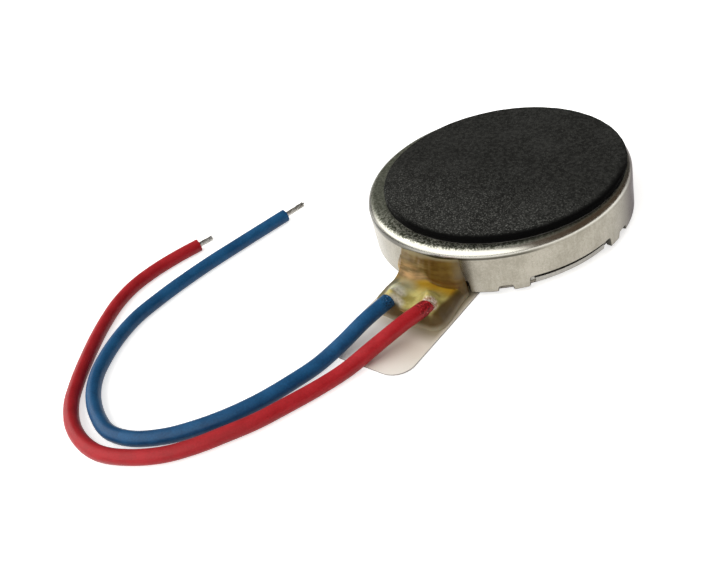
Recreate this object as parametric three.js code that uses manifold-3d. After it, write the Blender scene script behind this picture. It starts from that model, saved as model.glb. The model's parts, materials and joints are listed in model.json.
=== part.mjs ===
// A coin vibration motor, 10 mm across: a flat brushed motor whose off-balance rotor turns on a
// fixed shaft inside a drawn steel can. Millimetres, +Z up. The origin is on the motor's axis, at
// the underside of the release liner, which the motor rests on. The terminal tab points along -Y.

import * as THREE from "three";
import { mergeVertices } from "three/addons/utils/BufferGeometryUtils.js";
import Module from "manifold-3d";

const wasm = await Module();
wasm.setup();

const DEGREES = Math.PI / 180;

// ---- Driving dimensions ----

const GAP = 0.02; // left between pieces that touch on the real motor

const CAN_RADIUS = 5;
const CAN_HEIGHT = 1.79;
const SHEET = 0.2; // thickness of the can's and the bracket's steel
const SHOULDER_RADIUS = 0.3;

const LINER_THICKNESS = 0.05;
const TAPE_THICKNESS = 0.15;
const TAPE_RADIUS = 4.5;
const FLEX_THICKNESS = 0.08;
const ADHESIVE_THICKNESS = 0.02;
const FOAM_THICKNESS = 0.22;
const FOAM_RADIUS = 4.55;
const FOAM_OFFSET = [0.29, 0.07]; // the pad is stuck on by hand, so it sits a little off centre

const EAR_SPREAD = 118; // degrees between the bracket's three ears; the tab lies between two of them
const TAB_ANGLE = -90;
const HEAVY_ANGLE = 90; // where the rotor's weight points at rest, in degrees

const SHAFT_RADIUS = 0.35;
const SHAFT_CLEARANCE = 0.03;
const MAGNET_RADII = [2.25, 4.3];
const MAGNET_THICKNESS = 0.4;
const ROTOR_RADIUS = 4.45;

const LEAD_RADIUS = 0.275;
const LEAD_SIDES = 8;
const CORE_RADIUS = 0.11;

// The leads' centre lines, from the cut insulation on the tab to the cut insulation at the far end.
const RED_ROUTE = [
  [1.02, -6.55, 0.835], [0.71, -7.64, 0.8], [0.31, -8.69, 0.58], [-0.1, -9.78, 0.34],
  [-0.51, -10.82, 0.285], [-0.97, -11.86, 0.285], [-1.47, -12.9, 0.285], [-2.08, -13.84, 0.285],
  [-2.73, -14.74, 0.285], [-3.53, -15.53, 0.285], [-4.52, -16.12, 0.285], [-5.61, -16.47, 0.285],
  [-6.7, -16.42, 0.285], [-7.77, -16.06, 0.285], [-8.7, -15.42, 0.285], [-9.42, -14.62, 0.285],
  [-10.09, -13.73, 0.285], [-10.72, -12.79, 0.285], [-11.29, -11.8, 0.285], [-11.76, -10.76, 0.285],
  [-11.99, -9.68, 0.285], [-11.92, -8.55, 0.285], [-11.66, -7.46, 0.285], [-11.3, -6.43, 0.285],
];
const BLUE_ROUTE = [
  [-0.46, -6.8, 0.835], [-0.67, -7.89, 0.76], [-0.93, -8.98, 0.51], [-1.24, -10.07, 0.31],
  [-1.6, -11.17, 0.285], [-2.01, -12.21, 0.285], [-2.56, -13.2, 0.285], [-3.22, -14.09, 0.285],
  [-4.01, -14.88, 0.285], [-5.01, -15.48, 0.285], [-6.09, -15.67, 0.285], [-7.17, -15.37, 0.285],
  [-8.15, -14.82, 0.285], [-8.92, -14.08, 0.285], [-9.5, -13.14, 0.285], [-9.92, -12.1, 0.285],
  [-10.15, -11.01, 0.285], [-10.13, -9.88, 0.285], [-10.02, -8.79, 0.285], [-9.86, -7.71, 0.285],
  [-9.64, -6.62, 0.285], [-9.38, -5.49, 0.285], [-9.12, -4.41, 0.285], [-8.86, -3.32, 0.285],
];
const RED_TIP_LENGTH = 0.65; // tinned strands beyond the insulation
const BLUE_TIP_LENGTH = 0.98;

// ---- Heights, worked out from the driving dimensions ----

const TAPE_BOTTOM = LINER_THICKNESS + GAP;
const BRACKET_BOTTOM = TAPE_BOTTOM + TAPE_THICKNESS + GAP;
const BRACKET_TOP = BRACKET_BOTTOM + SHEET;
const FLEX_BOTTOM = BRACKET_TOP + GAP;
const FLEX_TOP = FLEX_BOTTOM + FLEX_THICKNESS;
const ON_FLEX = FLEX_TOP + GAP; // the height at which what stands on the flexible circuit begins
const CAN_RIM = 0.2; // the tips of the can's teeth
const CAN_TOP = CAN_RIM + CAN_HEIGHT;
const CEILING = CAN_TOP - SHEET;
const INNER_RADIUS = CAN_RADIUS - SHEET;

// ---- Geometry helpers ----

const CHORD = 0.44; // the longest straight stretch that stands for part of a circle
const FEWEST_SIDES = 24;
const MOST_SIDES = 72;

/** How many sides stand for a full circle: a small circle has fewer. */
function sides(radius) {
  const wanted = Math.round((2 * Math.PI * radius) / CHORD);
  return Math.min(MOST_SIDES, Math.max(FEWEST_SIDES, wanted));
}

/** Points on an arc about (x, y). Angles are in radians. */
function arc(x, y, radius, from, to) {
  const turns = Math.abs(to - from) / (2 * Math.PI);
  const steps = Math.max(2, Math.ceil(turns * sides(radius) - 1e-6));
  return Array.from({ length: steps + 1 }, (_, i) => {
    const angle = from + ((to - from) * i) / steps;
    return new THREE.Vector2(x + radius * Math.cos(angle), y + radius * Math.sin(angle));
  });
}

/** A full circle's outline. */
function circle(radius, x = 0, y = 0) {
  return arc(x, y, radius, 0, 2 * Math.PI).slice(0, -1);
}

/** The outline of a ring's sector, centred on an angle in degrees and reaching half degrees each way. */
function sector(inner, outer, centre, half) {
  const from = (centre - half) * DEGREES;
  const to = (centre + half) * DEGREES;
  return [...arc(0, 0, outer, from, to), ...arc(0, 0, inner, to, from)];
}

/** A tongue from y = 0 out to y = -length, with its two outer corners rounded. */
function tongue(halfWidth, length, corner) {
  return [
    new THREE.Vector2(halfWidth, 0),
    new THREE.Vector2(-halfWidth, 0),
    ...arc(corner - halfWidth, corner - length, corner, -Math.PI, -Math.PI / 2),
    ...arc(halfWidth - corner, corner - length, corner, -Math.PI / 2, 0),
  ];
}

/** A rectangle's outline about a centre. */
function rectangle(x, y, width, length) {
  const [dx, dy] = [width / 2, length / 2];
  return [[x - dx, y - dy], [x + dx, y - dy], [x + dx, y + dy], [x - dx, y + dy]].map(
    ([a, b]) => new THREE.Vector2(a, b),
  );
}

/** A flat plate from an outline, between two heights, with any holes cut through it. */
function plate(outline, bottom, top, holes = []) {
  const shape = new THREE.Shape(outline);
  shape.holes = holes.map((hole) => new THREE.Path(hole));
  const geometry = new THREE.ExtrudeGeometry(shape, { depth: top - bottom, bevelEnabled: false });
  return geometry.translate(0, 0, bottom);
}

/** A profile of [radius, height] pairs turned about Z. It runs anticlockwise, radius to the right. */
function turned(profile) {
  const points = profile.map(([radius, height]) => new THREE.Vector2(radius, height));
  const widest = Math.max(...profile.map(([radius]) => radius));
  return new THREE.LatheGeometry(points, sides(widest)).rotateX(Math.PI / 2);
}

/** A plain ring turned about Z. */
function ring(inner, outer, bottom, top) {
  return turned([[inner, bottom], [outer, bottom], [outer, top], [inner, top], [inner, bottom]]);
}

/** A round bar along a smooth line through the given points, with flat ends. */
function bar(points, radius, steps) {
  const path = new THREE.CatmullRomCurve3(points.map((point) => new THREE.Vector3(...point)));
  const corners = Array.from({ length: LEAD_SIDES }, (_, i) => {
    const angle = (2 * Math.PI * i) / LEAD_SIDES;
    return new THREE.Vector2(radius * Math.cos(angle), radius * Math.sin(angle));
  });
  return new THREE.ExtrudeGeometry(new THREE.Shape(corners), { steps, extrudePath: path });
}

/** A thin metal strip that follows a line of [y, z] points, as wide as width, centred on x. */
function bentStrip(line, thickness, x, width) {
  const side = (sign) =>
    line.map(([y, z], i) => {
      const [y0, z0] = line[Math.max(i - 1, 0)];
      const [y1, z1] = line[Math.min(i + 1, line.length - 1)];
      const length = Math.hypot(y1 - y0, z1 - z0);
      const shift = (sign * thickness) / 2;
      return new THREE.Vector2(y - ((z1 - z0) / length) * shift, z + ((y1 - y0) / length) * shift);
    });
  const shape = new THREE.Shape([...side(-1), ...side(1).reverse()]);
  const strip = new THREE.ExtrudeGeometry(shape, { depth: width, bevelEnabled: false });
  // The outline is drawn with Y to the right and Z up, and it is pulled out along X.
  const toPlace = new THREE.Matrix4().makeBasis(
    new THREE.Vector3(0, 1, 0),
    new THREE.Vector3(0, 0, 1),
    new THREE.Vector3(1, 0, 0),
  );
  return strip.applyMatrix4(toPlace).translate(x - width / 2, 0, 0);
}

/** A low dome on a flat base, such as a set drop of solder, wider along Y than along X by stretch. */
function dome(x, y, base, radius, height, stretch = 1) {
  const rise = [0, 30, 60].map((angle) => [Math.cos(angle * DEGREES), Math.sin(angle * DEGREES)]);
  const profile = [[0, 0], ...rise, [0, 1]].map(([r, z]) => new THREE.Vector2(r, z));
  const drop = new THREE.LatheGeometry(profile, FEWEST_SIDES).rotateX(Math.PI / 2);
  return drop.scale(radius, radius * stretch, height).translate(x, y, base);
}

/** A closed geometry as a solid that can be joined and cut. */
function asSolid(geometry) {
  const bare = new THREE.BufferGeometry();
  bare.setAttribute("position", geometry.getAttribute("position"));
  bare.setIndex(geometry.index);
  const merged = mergeVertices(bare, 1e-5);
  const corners = [];
  for (let i = 0; i < merged.index.count; i += 3) {
    const [a, b, c] = merged.index.array.slice(i, i + 3);
    if (a !== b && b !== c && c !== a) corners.push(a, b, c);
  }
  return new wasm.Manifold(
    new wasm.Mesh({
      numProp: 3,
      vertProperties: merged.attributes.position.array,
      triVerts: Uint32Array.from(corners),
    }),
  );
}

/** A solid back as geometry. */
function asGeometry(solid) {
  const mesh = solid.getMesh();
  const geometry = new THREE.BufferGeometry();
  geometry.setAttribute("position", new THREE.BufferAttribute(mesh.vertProperties, 3));
  geometry.setIndex(new THREE.BufferAttribute(mesh.triVerts, 1));
  return geometry;
}

/** The union of several geometries. */
function joined(first, ...others) {
  return asGeometry(others.reduce((whole, other) => whole.add(asSolid(other)), asSolid(first)));
}

/** A geometry with others cut out of it. */
function cut(first, ...tools) {
  return asGeometry(tools.reduce((whole, tool) => whole.subtract(asSolid(tool)), asSolid(first)));
}

/** What two geometries share. */
function shared(first, second) {
  return asGeometry(asSolid(first).intersect(asSolid(second)));
}

// ---- Materials: colour, roughness, metalness ----

const FINISHES = {
  nickelSteel: ["#c3beb2", 0.3, 1],
  plainSteel: ["#a9aaa8", 0.4, 1],
  polishedSteel: ["#d0d2d4", 0.15, 1],
  magnetNickel: ["#8f9296", 0.35, 1],
  tungsten: ["#6f7275", 0.55, 1],
  gold: ["#d9ad4e", 0.25, 1],
  copper: ["#c0723c", 0.35, 1],
  brushMetal: ["#d8c48e", 0.25, 1],
  solder: ["#c9ccd0", 0.3, 1],
  tinnedCopper: ["#a9a9a4", 0.4, 1],
  polyimide: ["#a8772a", 0.35, 0],
  circuitBoard: ["#2f6b3c", 0.5, 0],
  resin: ["#2a2a2c", 0.5, 0],
  bushPlastic: ["#e8e4d8", 0.45, 0],
  washerFilm: ["#d9d5c5", 0.5, 0],
  foam: ["#37383a", 0.95, 0],
  adhesive: ["#d8d4c8", 0.6, 0],
  foamAdhesive: ["#4d4d4a", 0.6, 0],
  linerFilm: ["#e6ded2", 0.4, 0],
  amberGlue: ["#8f6a22", 0.2, 0],
  clearGlue: ["#b5a878", 0.15, 0],
  redInsulation: ["#b02a35", 0.45, 0],
  blueInsulation: ["#1d4f80", 0.45, 0],
};

function piece(name, geometry, finish) {
  const [color, roughness, metalness] = FINISHES[finish];
  const mesh = new THREE.Mesh(geometry, new THREE.MeshStandardMaterial({ color, roughness, metalness }));
  mesh.name = name;
  return mesh;
}

// ---- The can ----

const EAR_ANGLES = [TAB_ANGLE + 180, TAB_ANGLE + 180 - EAR_SPREAD, TAB_ANGLE + 180 + EAR_SPREAD];
const RECESS_HALF = 19.3; // degrees: the long recess that shows each ear of the bracket
const RECESS_TOP = CAN_RIM + 0.39;
const NOTCH_CENTRE = 29.2; // degrees from the ear to the short notch on each side of it
const NOTCH_HALF = 2.8;
const NOTCH_TOP = CAN_RIM + 0.21;
// The last notch is left out: the rim is whole between its ear and the tab.
const NOTCH_ANGLES = EAR_ANGLES.flatMap((ear) => [ear - NOTCH_CENTRE, ear + NOTCH_CENTRE]).slice(0, -1);
const EXIT_HALF = 18; // degrees: the opening that the tab comes out of
const EXIT_ROOM = 0.16; // over the flexible circuit, where it comes out
const EXIT_TOP = FLEX_TOP + EXIT_ROOM;
const SHAFT_SEAT_RADIUS = 0.42;
const SHAFT_SEAT_DEPTH = 0.06;

/** The can's side view: a drawn cup, mouth down, with a shallow seat inside for the shaft's end. */
function canProfile() {
  const shoulder = [CAN_RADIUS - SHOULDER_RADIUS, CAN_TOP - SHOULDER_RADIUS];
  const inside = SHOULDER_RADIUS - SHEET;
  const corner = (radius) => arc(...shoulder, radius, 0, Math.PI / 2).map(({ x, y }) => [x, y]);
  return [
    [INNER_RADIUS, CAN_RIM],
    [CAN_RADIUS, CAN_RIM],
    ...corner(SHOULDER_RADIUS),
    [0, CAN_TOP],
    [0, CEILING + SHAFT_SEAT_DEPTH],
    [SHAFT_SEAT_RADIUS, CEILING + SHAFT_SEAT_DEPTH],
    [SHAFT_SEAT_RADIUS, CEILING],
    ...corner(inside).reverse(),
    [INNER_RADIUS, CAN_RIM],
  ];
}

/** A block that opens the can's wall over an angle, up to a height. */
function wallOpening(centre, half, top) {
  const below = CAN_RIM - SHEET;
  return plate(sector(INNER_RADIUS - SHEET, CAN_RADIUS + SHEET, centre, half), below, top);
}

function makeCan() {
  const openings = [
    wallOpening(TAB_ANGLE, EXIT_HALF, EXIT_TOP),
    ...EAR_ANGLES.map((ear) => wallOpening(ear, RECESS_HALF, RECESS_TOP)),
    ...NOTCH_ANGLES.map((notch) => wallOpening(notch, NOTCH_HALF, NOTCH_TOP)),
  ];
  return piece("case_can", cut(turned(canProfile()), ...openings), "nickelSteel");
}

// ---- The pad on top ----

function makePad() {
  const adhesiveBottom = CAN_TOP + GAP;
  const adhesiveTop = adhesiveBottom + ADHESIVE_THICKNESS;
  const foamBottom = adhesiveTop + GAP;
  const foam = plate(circle(FOAM_RADIUS, ...FOAM_OFFSET), foamBottom, foamBottom + FOAM_THICKNESS);
  const adhesive = plate(circle(FOAM_RADIUS - GAP, ...FOAM_OFFSET), adhesiveBottom, adhesiveTop);
  return [piece("foam_pad", foam, "foam"), piece("foam_adhesive", adhesive, "foamAdhesive")];
}

// ---- The base: liner, tape, bracket and shaft ----

const TAB_HALF_WIDTH = 1.25; // the flexible circuit outside the can
const TAB_END = 6.8;
const TAB_CORNER = 0.45;
const TAPE_CORNER = 0.3;
const BRACKET_TONGUE = [TAB_HALF_WIDTH - 0.05, TAB_END - 0.15];
const TAPE_TONGUE = [BRACKET_TONGUE[0] - 0.05, BRACKET_TONGUE[1] - 0.1];
const LINER_TAB = [1.72, 9.3]; // half width and reach of the liner's pull tab
const LINER_CORNER = 0.8;
const LINER_MARGIN = 0.1; // beyond the tape, all round
const BRACKET_RADIUS = INNER_RADIUS - 0.08;
const EAR_RADIUS = 4.88;
const EAR_ROOT = 4; // the radius at which an ear begins, well inside the disc
const EAR_HALF = 17; // degrees
const BOSS_RADIUS = 0.58;
const BOSS_TOP = 0.66; // the burred collar that grips the shaft

/** A disc and a tongue along -Y as one flat piece. */
function discWithTongue(radius, [halfWidth, length], corner, bottom, top) {
  return joined(
    plate(circle(radius), bottom, top),
    plate(tongue(halfWidth, length, corner), bottom, top),
  );
}

function makeLiner() {
  const radius = TAPE_RADIUS + LINER_MARGIN;
  const liner = discWithTongue(radius, LINER_TAB, LINER_CORNER, 0, LINER_THICKNESS);
  return piece("release_liner", liner, "linerFilm");
}

function makeTape() {
  const top = TAPE_BOTTOM + TAPE_THICKNESS;
  const tape = discWithTongue(TAPE_RADIUS, TAPE_TONGUE, TAPE_CORNER, TAPE_BOTTOM, top);
  return piece("mounting_tape", tape, "adhesive");
}

function makeBracket() {
  const disc = discWithTongue(BRACKET_RADIUS, BRACKET_TONGUE, TAB_CORNER, BRACKET_BOTTOM, BRACKET_TOP);
  const ears = EAR_ANGLES.map((ear) =>
    plate(sector(EAR_ROOT, EAR_RADIUS, ear, EAR_HALF), BRACKET_BOTTOM, BRACKET_TOP),
  );
  const boss = plate(circle(BOSS_RADIUS), BRACKET_TOP - SHEET / 4, BOSS_TOP);
  const hole = plate(circle(SHAFT_RADIUS + GAP), BRACKET_BOTTOM - SHEET, BOSS_TOP + SHEET);
  return piece("bracket_plate", cut(joined(disc, ...ears, boss), hole), "plainSteel");
}

const SHAFT_TOP = CEILING + SHAFT_SEAT_DEPTH - GAP;

function makeShaft() {
  const chamfer = 0.05;
  const profile = [
    [0, BRACKET_BOTTOM],
    [SHAFT_RADIUS - chamfer, BRACKET_BOTTOM],
    [SHAFT_RADIUS, BRACKET_BOTTOM + chamfer],
    [SHAFT_RADIUS, SHAFT_TOP - chamfer],
    [SHAFT_RADIUS - chamfer, SHAFT_TOP],
    [0, SHAFT_TOP],
  ];
  return piece("shaft", turned(profile), "polishedSteel");
}

// ---- The stator: magnet, flexible circuit and brushes ----

function makeMagnet() {
  const [inner, outer] = MAGNET_RADII;
  const top = ON_FLEX + MAGNET_THICKNESS;
  const edge = 0.06;
  const profile = [
    [inner, ON_FLEX],
    [outer, ON_FLEX],
    [outer, top - edge],
    [outer - edge, top],
    [inner + edge, top],
    [inner, top - edge],
    [inner, ON_FLEX],
  ];
  return piece("ring_magnet", turned(profile), "magnetNickel");
}

function makeFlexCircuit() {
  const reach = [TAB_HALF_WIDTH, TAB_END];
  const sheet = discWithTongue(TAPE_RADIUS, reach, TAB_CORNER, FLEX_BOTTOM, FLEX_TOP);
  const hole = plate(circle(BOSS_RADIUS + 2 * GAP), FLEX_BOTTOM - SHEET, FLEX_TOP + SHEET);
  return piece("flex_circuit", cut(sheet, hole), "polyimide");
}

const BRUSH_X = 0.92;
const BRUSH_WIDTH = 0.34;
const BRUSH_THICKNESS = 0.05;
const BRUSH_SLIT = [0.05, 1.2]; // width and length of the slit that forks each brush's tip
const BRUSH_SLIT_Y = 0.7;
const BRUSH_SOLDER_Y = -1.5;
const BRUSH_SOLDER = [0.14, 0.07]; // radius and height of the solder on each brush
const COMMUTATOR_BOTTOM = 1.08;

/** One leaf-spring brush: soldered flat at one end, rising to a forked tip under the commutator. */
function makeBrush(side) {
  const low = ON_FLEX + BRUSH_THICKNESS / 2;
  const high = COMMUTATOR_BOTTOM - GAP - BRUSH_THICKNESS / 2;
  const line = [
    [-1.75, low], [-1.1, low], [-0.9, low + 0.02], [0.55, high - 0.06],
    [0.8, high - 0.01], [BRUSH_X, high], [1.04, high - 0.02], [1.16, high - 0.08],
  ];
  const x = side * BRUSH_X;
  const slit = plate(rectangle(x, BRUSH_SLIT_Y, ...BRUSH_SLIT), FLEX_TOP, COMMUTATOR_BOTTOM);
  const name = side < 0 ? "brush_left" : "brush_right";
  return piece(name, cut(bentStrip(line, BRUSH_THICKNESS, x, BRUSH_WIDTH), slit), "brushMetal");
}

function makeBrushSolder(side) {
  const base = ON_FLEX + BRUSH_THICKNESS + GAP;
  const drop = dome(side * BRUSH_X, BRUSH_SOLDER_Y, base, ...BRUSH_SOLDER);
  return piece(side < 0 ? "brush_solder_left" : "brush_solder_right", drop, "solder");
}

// ---- Washers at the ends of the bearing ----

const BORE_RADIUS = SHAFT_RADIUS + SHAFT_CLEARANCE;
const WASHER_THICKNESS = 0.06;
const LOWER_WASHER_RADIUS = 0.62;
const UPPER_WASHER_RADIUS = 0.72;
const END_PLAY = 0.03; // between the upper washer and the can
const LOWER_WASHER_BOTTOM = BOSS_TOP + GAP;
const BUSH_BOTTOM = LOWER_WASHER_BOTTOM + WASHER_THICKNESS + GAP;
const ROTOR_TOP = CEILING - END_PLAY - WASHER_THICKNESS - GAP;
const UPPER_WASHER_BOTTOM = ROTOR_TOP + GAP;

function makeWasher(name, outer, bottom) {
  return piece(name, ring(BORE_RADIUS, outer, bottom, bottom + WASHER_THICKNESS), "washerFilm");
}

// ---- The rotor ----

const BUSH_RADIUS = 0.65;
const HUB_RADIUS = 2.05;
const ROTOR_HALF = 98; // degrees that the rotor's wide side reaches each way
const COMMUTATOR_RADII = [0.8, 1.75];
const SEGMENT_THICKNESS = 0.04;
const COMMUTATOR_TOP = COMMUTATOR_BOTTOM + SEGMENT_THICKNESS;
const BOARD_THICKNESS = 0.1;
const BOARD_BOTTOM = COMMUTATOR_TOP + GAP;
const BOARD_TOP = BOARD_BOTTOM + BOARD_THICKNESS;
const WINDING_BOTTOM = BOARD_TOP + GAP;
const COIL_RADII = [0.45, 1.15];
const COIL_HEIGHT = 0.32;
const COIL_TOP = WINDING_BOTTOM + COIL_HEIGHT;
const COIL_ORBIT = 2.98;
const COIL_ANGLE = 64; // degrees from the weight to each coil
const WEIGHT_INNER = 1.95;
const WEIGHT_HALF = 36; // degrees

function coilCentre(side) {
  const angle = (HEAVY_ANGLE + side * COIL_ANGLE) * DEGREES;
  return [COIL_ORBIT * Math.cos(angle), COIL_ORBIT * Math.sin(angle)];
}

/** The rotor's plan: a round hub with a wide fan on its heavy side. */
function rotorPlate(bottom, top) {
  const root = 0.85 * HUB_RADIUS; // the fan begins well inside the hub
  const fan = sector(root, ROTOR_RADIUS, HEAVY_ANGLE, ROTOR_HALF);
  return joined(plate(circle(HUB_RADIUS), bottom, top), plate(fan, bottom, top));
}

function bushHole() {
  return plate(circle(BUSH_RADIUS + GAP), COMMUTATOR_BOTTOM, CAN_TOP);
}

function makeBush() {
  return piece("bearing_bush", ring(BORE_RADIUS, BUSH_RADIUS, BUSH_BOTTOM, ROTOR_TOP), "bushPlastic");
}

function makeBoard() {
  return piece("rotor_board", cut(rotorPlate(BOARD_BOTTOM, BOARD_TOP), bushHole()), "circuitBoard");
}

function makeCommutator() {
  const count = 6;
  const pitch = 360 / count;
  const slot = 3; // degrees between segments
  return Array.from({ length: count }, (_, i) => {
    const outline = sector(...COMMUTATOR_RADII, i * pitch, (pitch - slot) / 2);
    const bar = plate(outline, COMMUTATOR_BOTTOM, COMMUTATOR_TOP);
    return piece(`commutator_segment_${i + 1}`, bar, "gold");
  });
}

/** A flat coil of wire with its edges rounded by the winding. */
function makeCoil(side) {
  const [inner, outer] = COIL_RADII;
  const edge = 0.08;
  const profile = [
    [inner, WINDING_BOTTOM],
    [outer - edge, WINDING_BOTTOM],
    [outer, WINDING_BOTTOM + edge],
    [outer, COIL_TOP - edge],
    [outer - edge, COIL_TOP],
    [inner, COIL_TOP],
    [inner, WINDING_BOTTOM],
  ];
  const coil = turned(profile).translate(...coilCentre(side), 0);
  return piece(side < 0 ? "coil_right" : "coil_left", coil, "copper");
}

function makeWeight() {
  const outline = sector(WEIGHT_INNER, ROTOR_RADIUS, HEAVY_ANGLE, WEIGHT_HALF);
  return piece("counterweight", plate(outline, WINDING_BOTTOM, ROTOR_TOP), "tungsten");
}

/** The moulded resin that holds the coils and the weight to the board. */
function makeResin() {
  const [inner, outer] = COIL_RADII;
  const coilPocket = (side) => {
    const [x, y] = coilCentre(side);
    const hole = circle(inner - GAP, x, y);
    return plate(circle(outer + GAP, x, y), BOARD_BOTTOM, COIL_TOP + GAP, [hole]);
  };
  const weightGap = 0.5; // degrees
  const weightOutline = [WEIGHT_INNER - GAP, ROTOR_RADIUS + SHEET, HEAVY_ANGLE, WEIGHT_HALF + weightGap];
  const weightPocket = plate(sector(...weightOutline), BOARD_BOTTOM, CAN_TOP);
  const body = rotorPlate(WINDING_BOTTOM, ROTOR_TOP);
  const resin = cut(body, bushHole(), weightPocket, coilPocket(-1), coilPocket(1));
  return piece("rotor_resin", resin, "resin");
}

// ---- The terminals on the tab ----

const PAD_THICKNESS = 0.02;
const PAD_TOP = ON_FLEX + PAD_THICKNESS;
const PAD_X = 0.64;
const PAD_Y = -6.0;
const PAD_SIZE = [0.86, 0.75];
const SOLDER_BASE = PAD_TOP + GAP;
const SOLDER_RADIUS = 0.34;
const SOLDER_HEIGHT = 0.24;
const SOLDER_STRETCH = 1.05;
const CORE_END_Y = PAD_Y + 0.05; // where a core ends inside its solder
const CORE_END_Z = SOLDER_BASE + 0.14;
const CORE_STEPS = 6;

/** The bare end of a lead's core, from the cut insulation down into the solder. */
function coreBar(route, side, radius) {
  const [x, y, z] = route[0];
  const [straight, drop] = [0.3, 0.04]; // it stays nearly level before it turns down
  const top = [x, y + GAP, z];
  const middle = [(x + side * PAD_X) / 2, y + straight, z - drop];
  const end = [side * PAD_X, CORE_END_Y, CORE_END_Z];
  return bar([top, middle, end], radius, CORE_STEPS);
}

/** One lead's joint: copper pad, bare core and solder. side is +1 for red and -1 for blue. */
function makeTerminal(colour, route, side) {
  const pad = plate(rectangle(side * PAD_X, PAD_Y, ...PAD_SIZE), ON_FLEX, PAD_TOP);
  const drop = dome(side * PAD_X, PAD_Y, SOLDER_BASE, SOLDER_RADIUS, SOLDER_HEIGHT, SOLDER_STRETCH);
  const solder = cut(drop, coreBar(route, side, CORE_RADIUS + GAP));
  return [
    piece(`terminal_pad_${colour}`, pad, "copper"),
    piece(`lead_core_${colour}`, coreBar(route, side, CORE_RADIUS), "tinnedCopper"),
    piece(`lead_solder_${colour}`, solder, "solder"),
  ];
}

// ---- The leads ----

const LEAD_STEPS = 23; // one every two diameters

/** The tinned strands that stick out of a lead's far end, in line with it. */
function tipBar(route, length) {
  const [before, last] = route.slice(-2).map((point) => new THREE.Vector3(...point));
  const along = last.clone().sub(before).normalize();
  const start = last.clone().addScaledVector(along, GAP);
  const end = last.clone().addScaledVector(along, GAP + length);
  return bar([start.toArray(), end.toArray()], CORE_RADIUS, 1);
}

function makeLead(colour, route, tipLength, finish) {
  return [
    piece(`lead_${colour}`, bar(route, LEAD_RADIUS, LEAD_STEPS), finish),
    piece(`lead_tip_${colour}`, tipBar(route, tipLength), "tinnedCopper"),
  ];
}

// ---- The glue over the joints and up the can's wall ----

const GLUE_CENTRE = -89; // degrees
const GLUE_HALF = 17.5;
const GLUE_TOP = 1.66;
const GLUE_FOOT = 5.45; // how far from the axis the wall's glue reaches, at the tab
const GLUE_TOE = GLUE_FOOT + 0.1; // the same, beside the tab
const GLUE_SWEEP = [[0.24, 0.8], [0.12, 1.2], [0.06, GLUE_TOP]]; // thickness on the wall at each height

const POOL_TOP = 0.8;
const POOL_SIDE = [[1.55, TAPE_BOTTOM], [1.45, 0.6], [1.2, POOL_TOP]]; // half width at each height

/** The tab with clearance round it, for cutting the glue that wraps it. */
function tabEnvelope() {
  return plate(tongue(TAB_HALF_WIDTH + GAP, TAB_END + 1, TAB_CORNER / 4), -SHEET, ON_FLEX);
}

/** The amber glue that seals the slot: a thin skin on the wall, thicker towards the tab. */
function makeWallGlue() {
  const skin = turned([
    [CAN_RADIUS + GAP, TAPE_BOTTOM],
    [GLUE_TOE, TAPE_BOTTOM],
    [GLUE_FOOT, ON_FLEX],
    ...GLUE_SWEEP.map(([thickness, height]) => [CAN_RADIUS + thickness, height]),
    [CAN_RADIUS + GAP, GLUE_TOP],
    [CAN_RADIUS + GAP, TAPE_BOTTOM],
  ]);
  const wedge = plate(sector(CAN_RADIUS - 1, CAN_RADIUS + 1, GLUE_CENTRE, GLUE_HALF), 0, CAN_TOP);
  return piece("wall_glue", cut(shared(skin, wedge), tabEnvelope()), "amberGlue");
}

/** The room that one lead's joint needs inside the glue. */
function jointHollows(route, side) {
  const roomy = [PAD_SIZE[0] + 2 * GAP, PAD_SIZE[1] + 2 * GAP];
  const solderRadius = SOLDER_RADIUS + 2 * GAP;
  const solderHeight = SOLDER_BASE + SOLDER_HEIGHT + GAP - FLEX_TOP;
  return [
    plate(rectangle(side * PAD_X, PAD_Y, ...roomy), FLEX_TOP, SOLDER_BASE),
    dome(side * PAD_X, PAD_Y, FLEX_TOP, solderRadius, solderHeight, SOLDER_STRETCH),
    coreBar(route, side, CORE_RADIUS + 2 * GAP),
    bar(route, LEAD_RADIUS + 2 * GAP, LEAD_STEPS),
  ];
}

/** The clearer glue that covers both solder joints and runs down the tab's sides to the liner. */
function makeJointGlue() {
  const [start, end] = [0.05 - TAB_END, -(GLUE_TOE + GAP)];
  const mirrored = POOL_SIDE.map(([x, z]) => [-x, z]).reverse();
  const section = new THREE.Shape([...POOL_SIDE, ...mirrored].map(([x, z]) => new THREE.Vector2(x, z)));
  const block = new THREE.ExtrudeGeometry(section, { depth: end - start, bevelEnabled: false });
  block.rotateX(Math.PI / 2).translate(0, end, 0);
  const hollows = [...jointHollows(RED_ROUTE, 1), ...jointHollows(BLUE_ROUTE, -1)];
  return piece("joint_glue", cut(block, tabEnvelope(), ...hollows), "clearGlue");
}

// ---- The assembly ----

const stator = new THREE.Group();
stator.add(makeLiner(), makeTape(), makeBracket(), makeShaft(), makeMagnet(), makeFlexCircuit());
for (const side of [-1, 1]) {
  stator.add(makeBrush(side), makeBrushSolder(side));
}
stator.add(makeWasher("washer_lower", LOWER_WASHER_RADIUS, LOWER_WASHER_BOTTOM));
stator.add(makeWasher("washer_upper", UPPER_WASHER_RADIUS, UPPER_WASHER_BOTTOM));
stator.add(makeCan(), ...makePad(), makeWallGlue(), makeJointGlue());
stator.add(...makeTerminal("red", RED_ROUTE, 1), ...makeTerminal("blue", BLUE_ROUTE, -1));

const leads = new THREE.Group();
leads.add(...makeLead("red", RED_ROUTE, RED_TIP_LENGTH, "redInsulation"));
leads.add(...makeLead("blue", BLUE_ROUTE, BLUE_TIP_LENGTH, "blueInsulation"));

const rotor = new THREE.Group();
rotor.add(makeBush(), makeBoard(), ...makeCommutator(), makeCoil(-1), makeCoil(1));
rotor.add(makeWeight(), makeResin());

const group = new THREE.Group();
group.add(stator, leads, rotor);

export default group;
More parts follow.
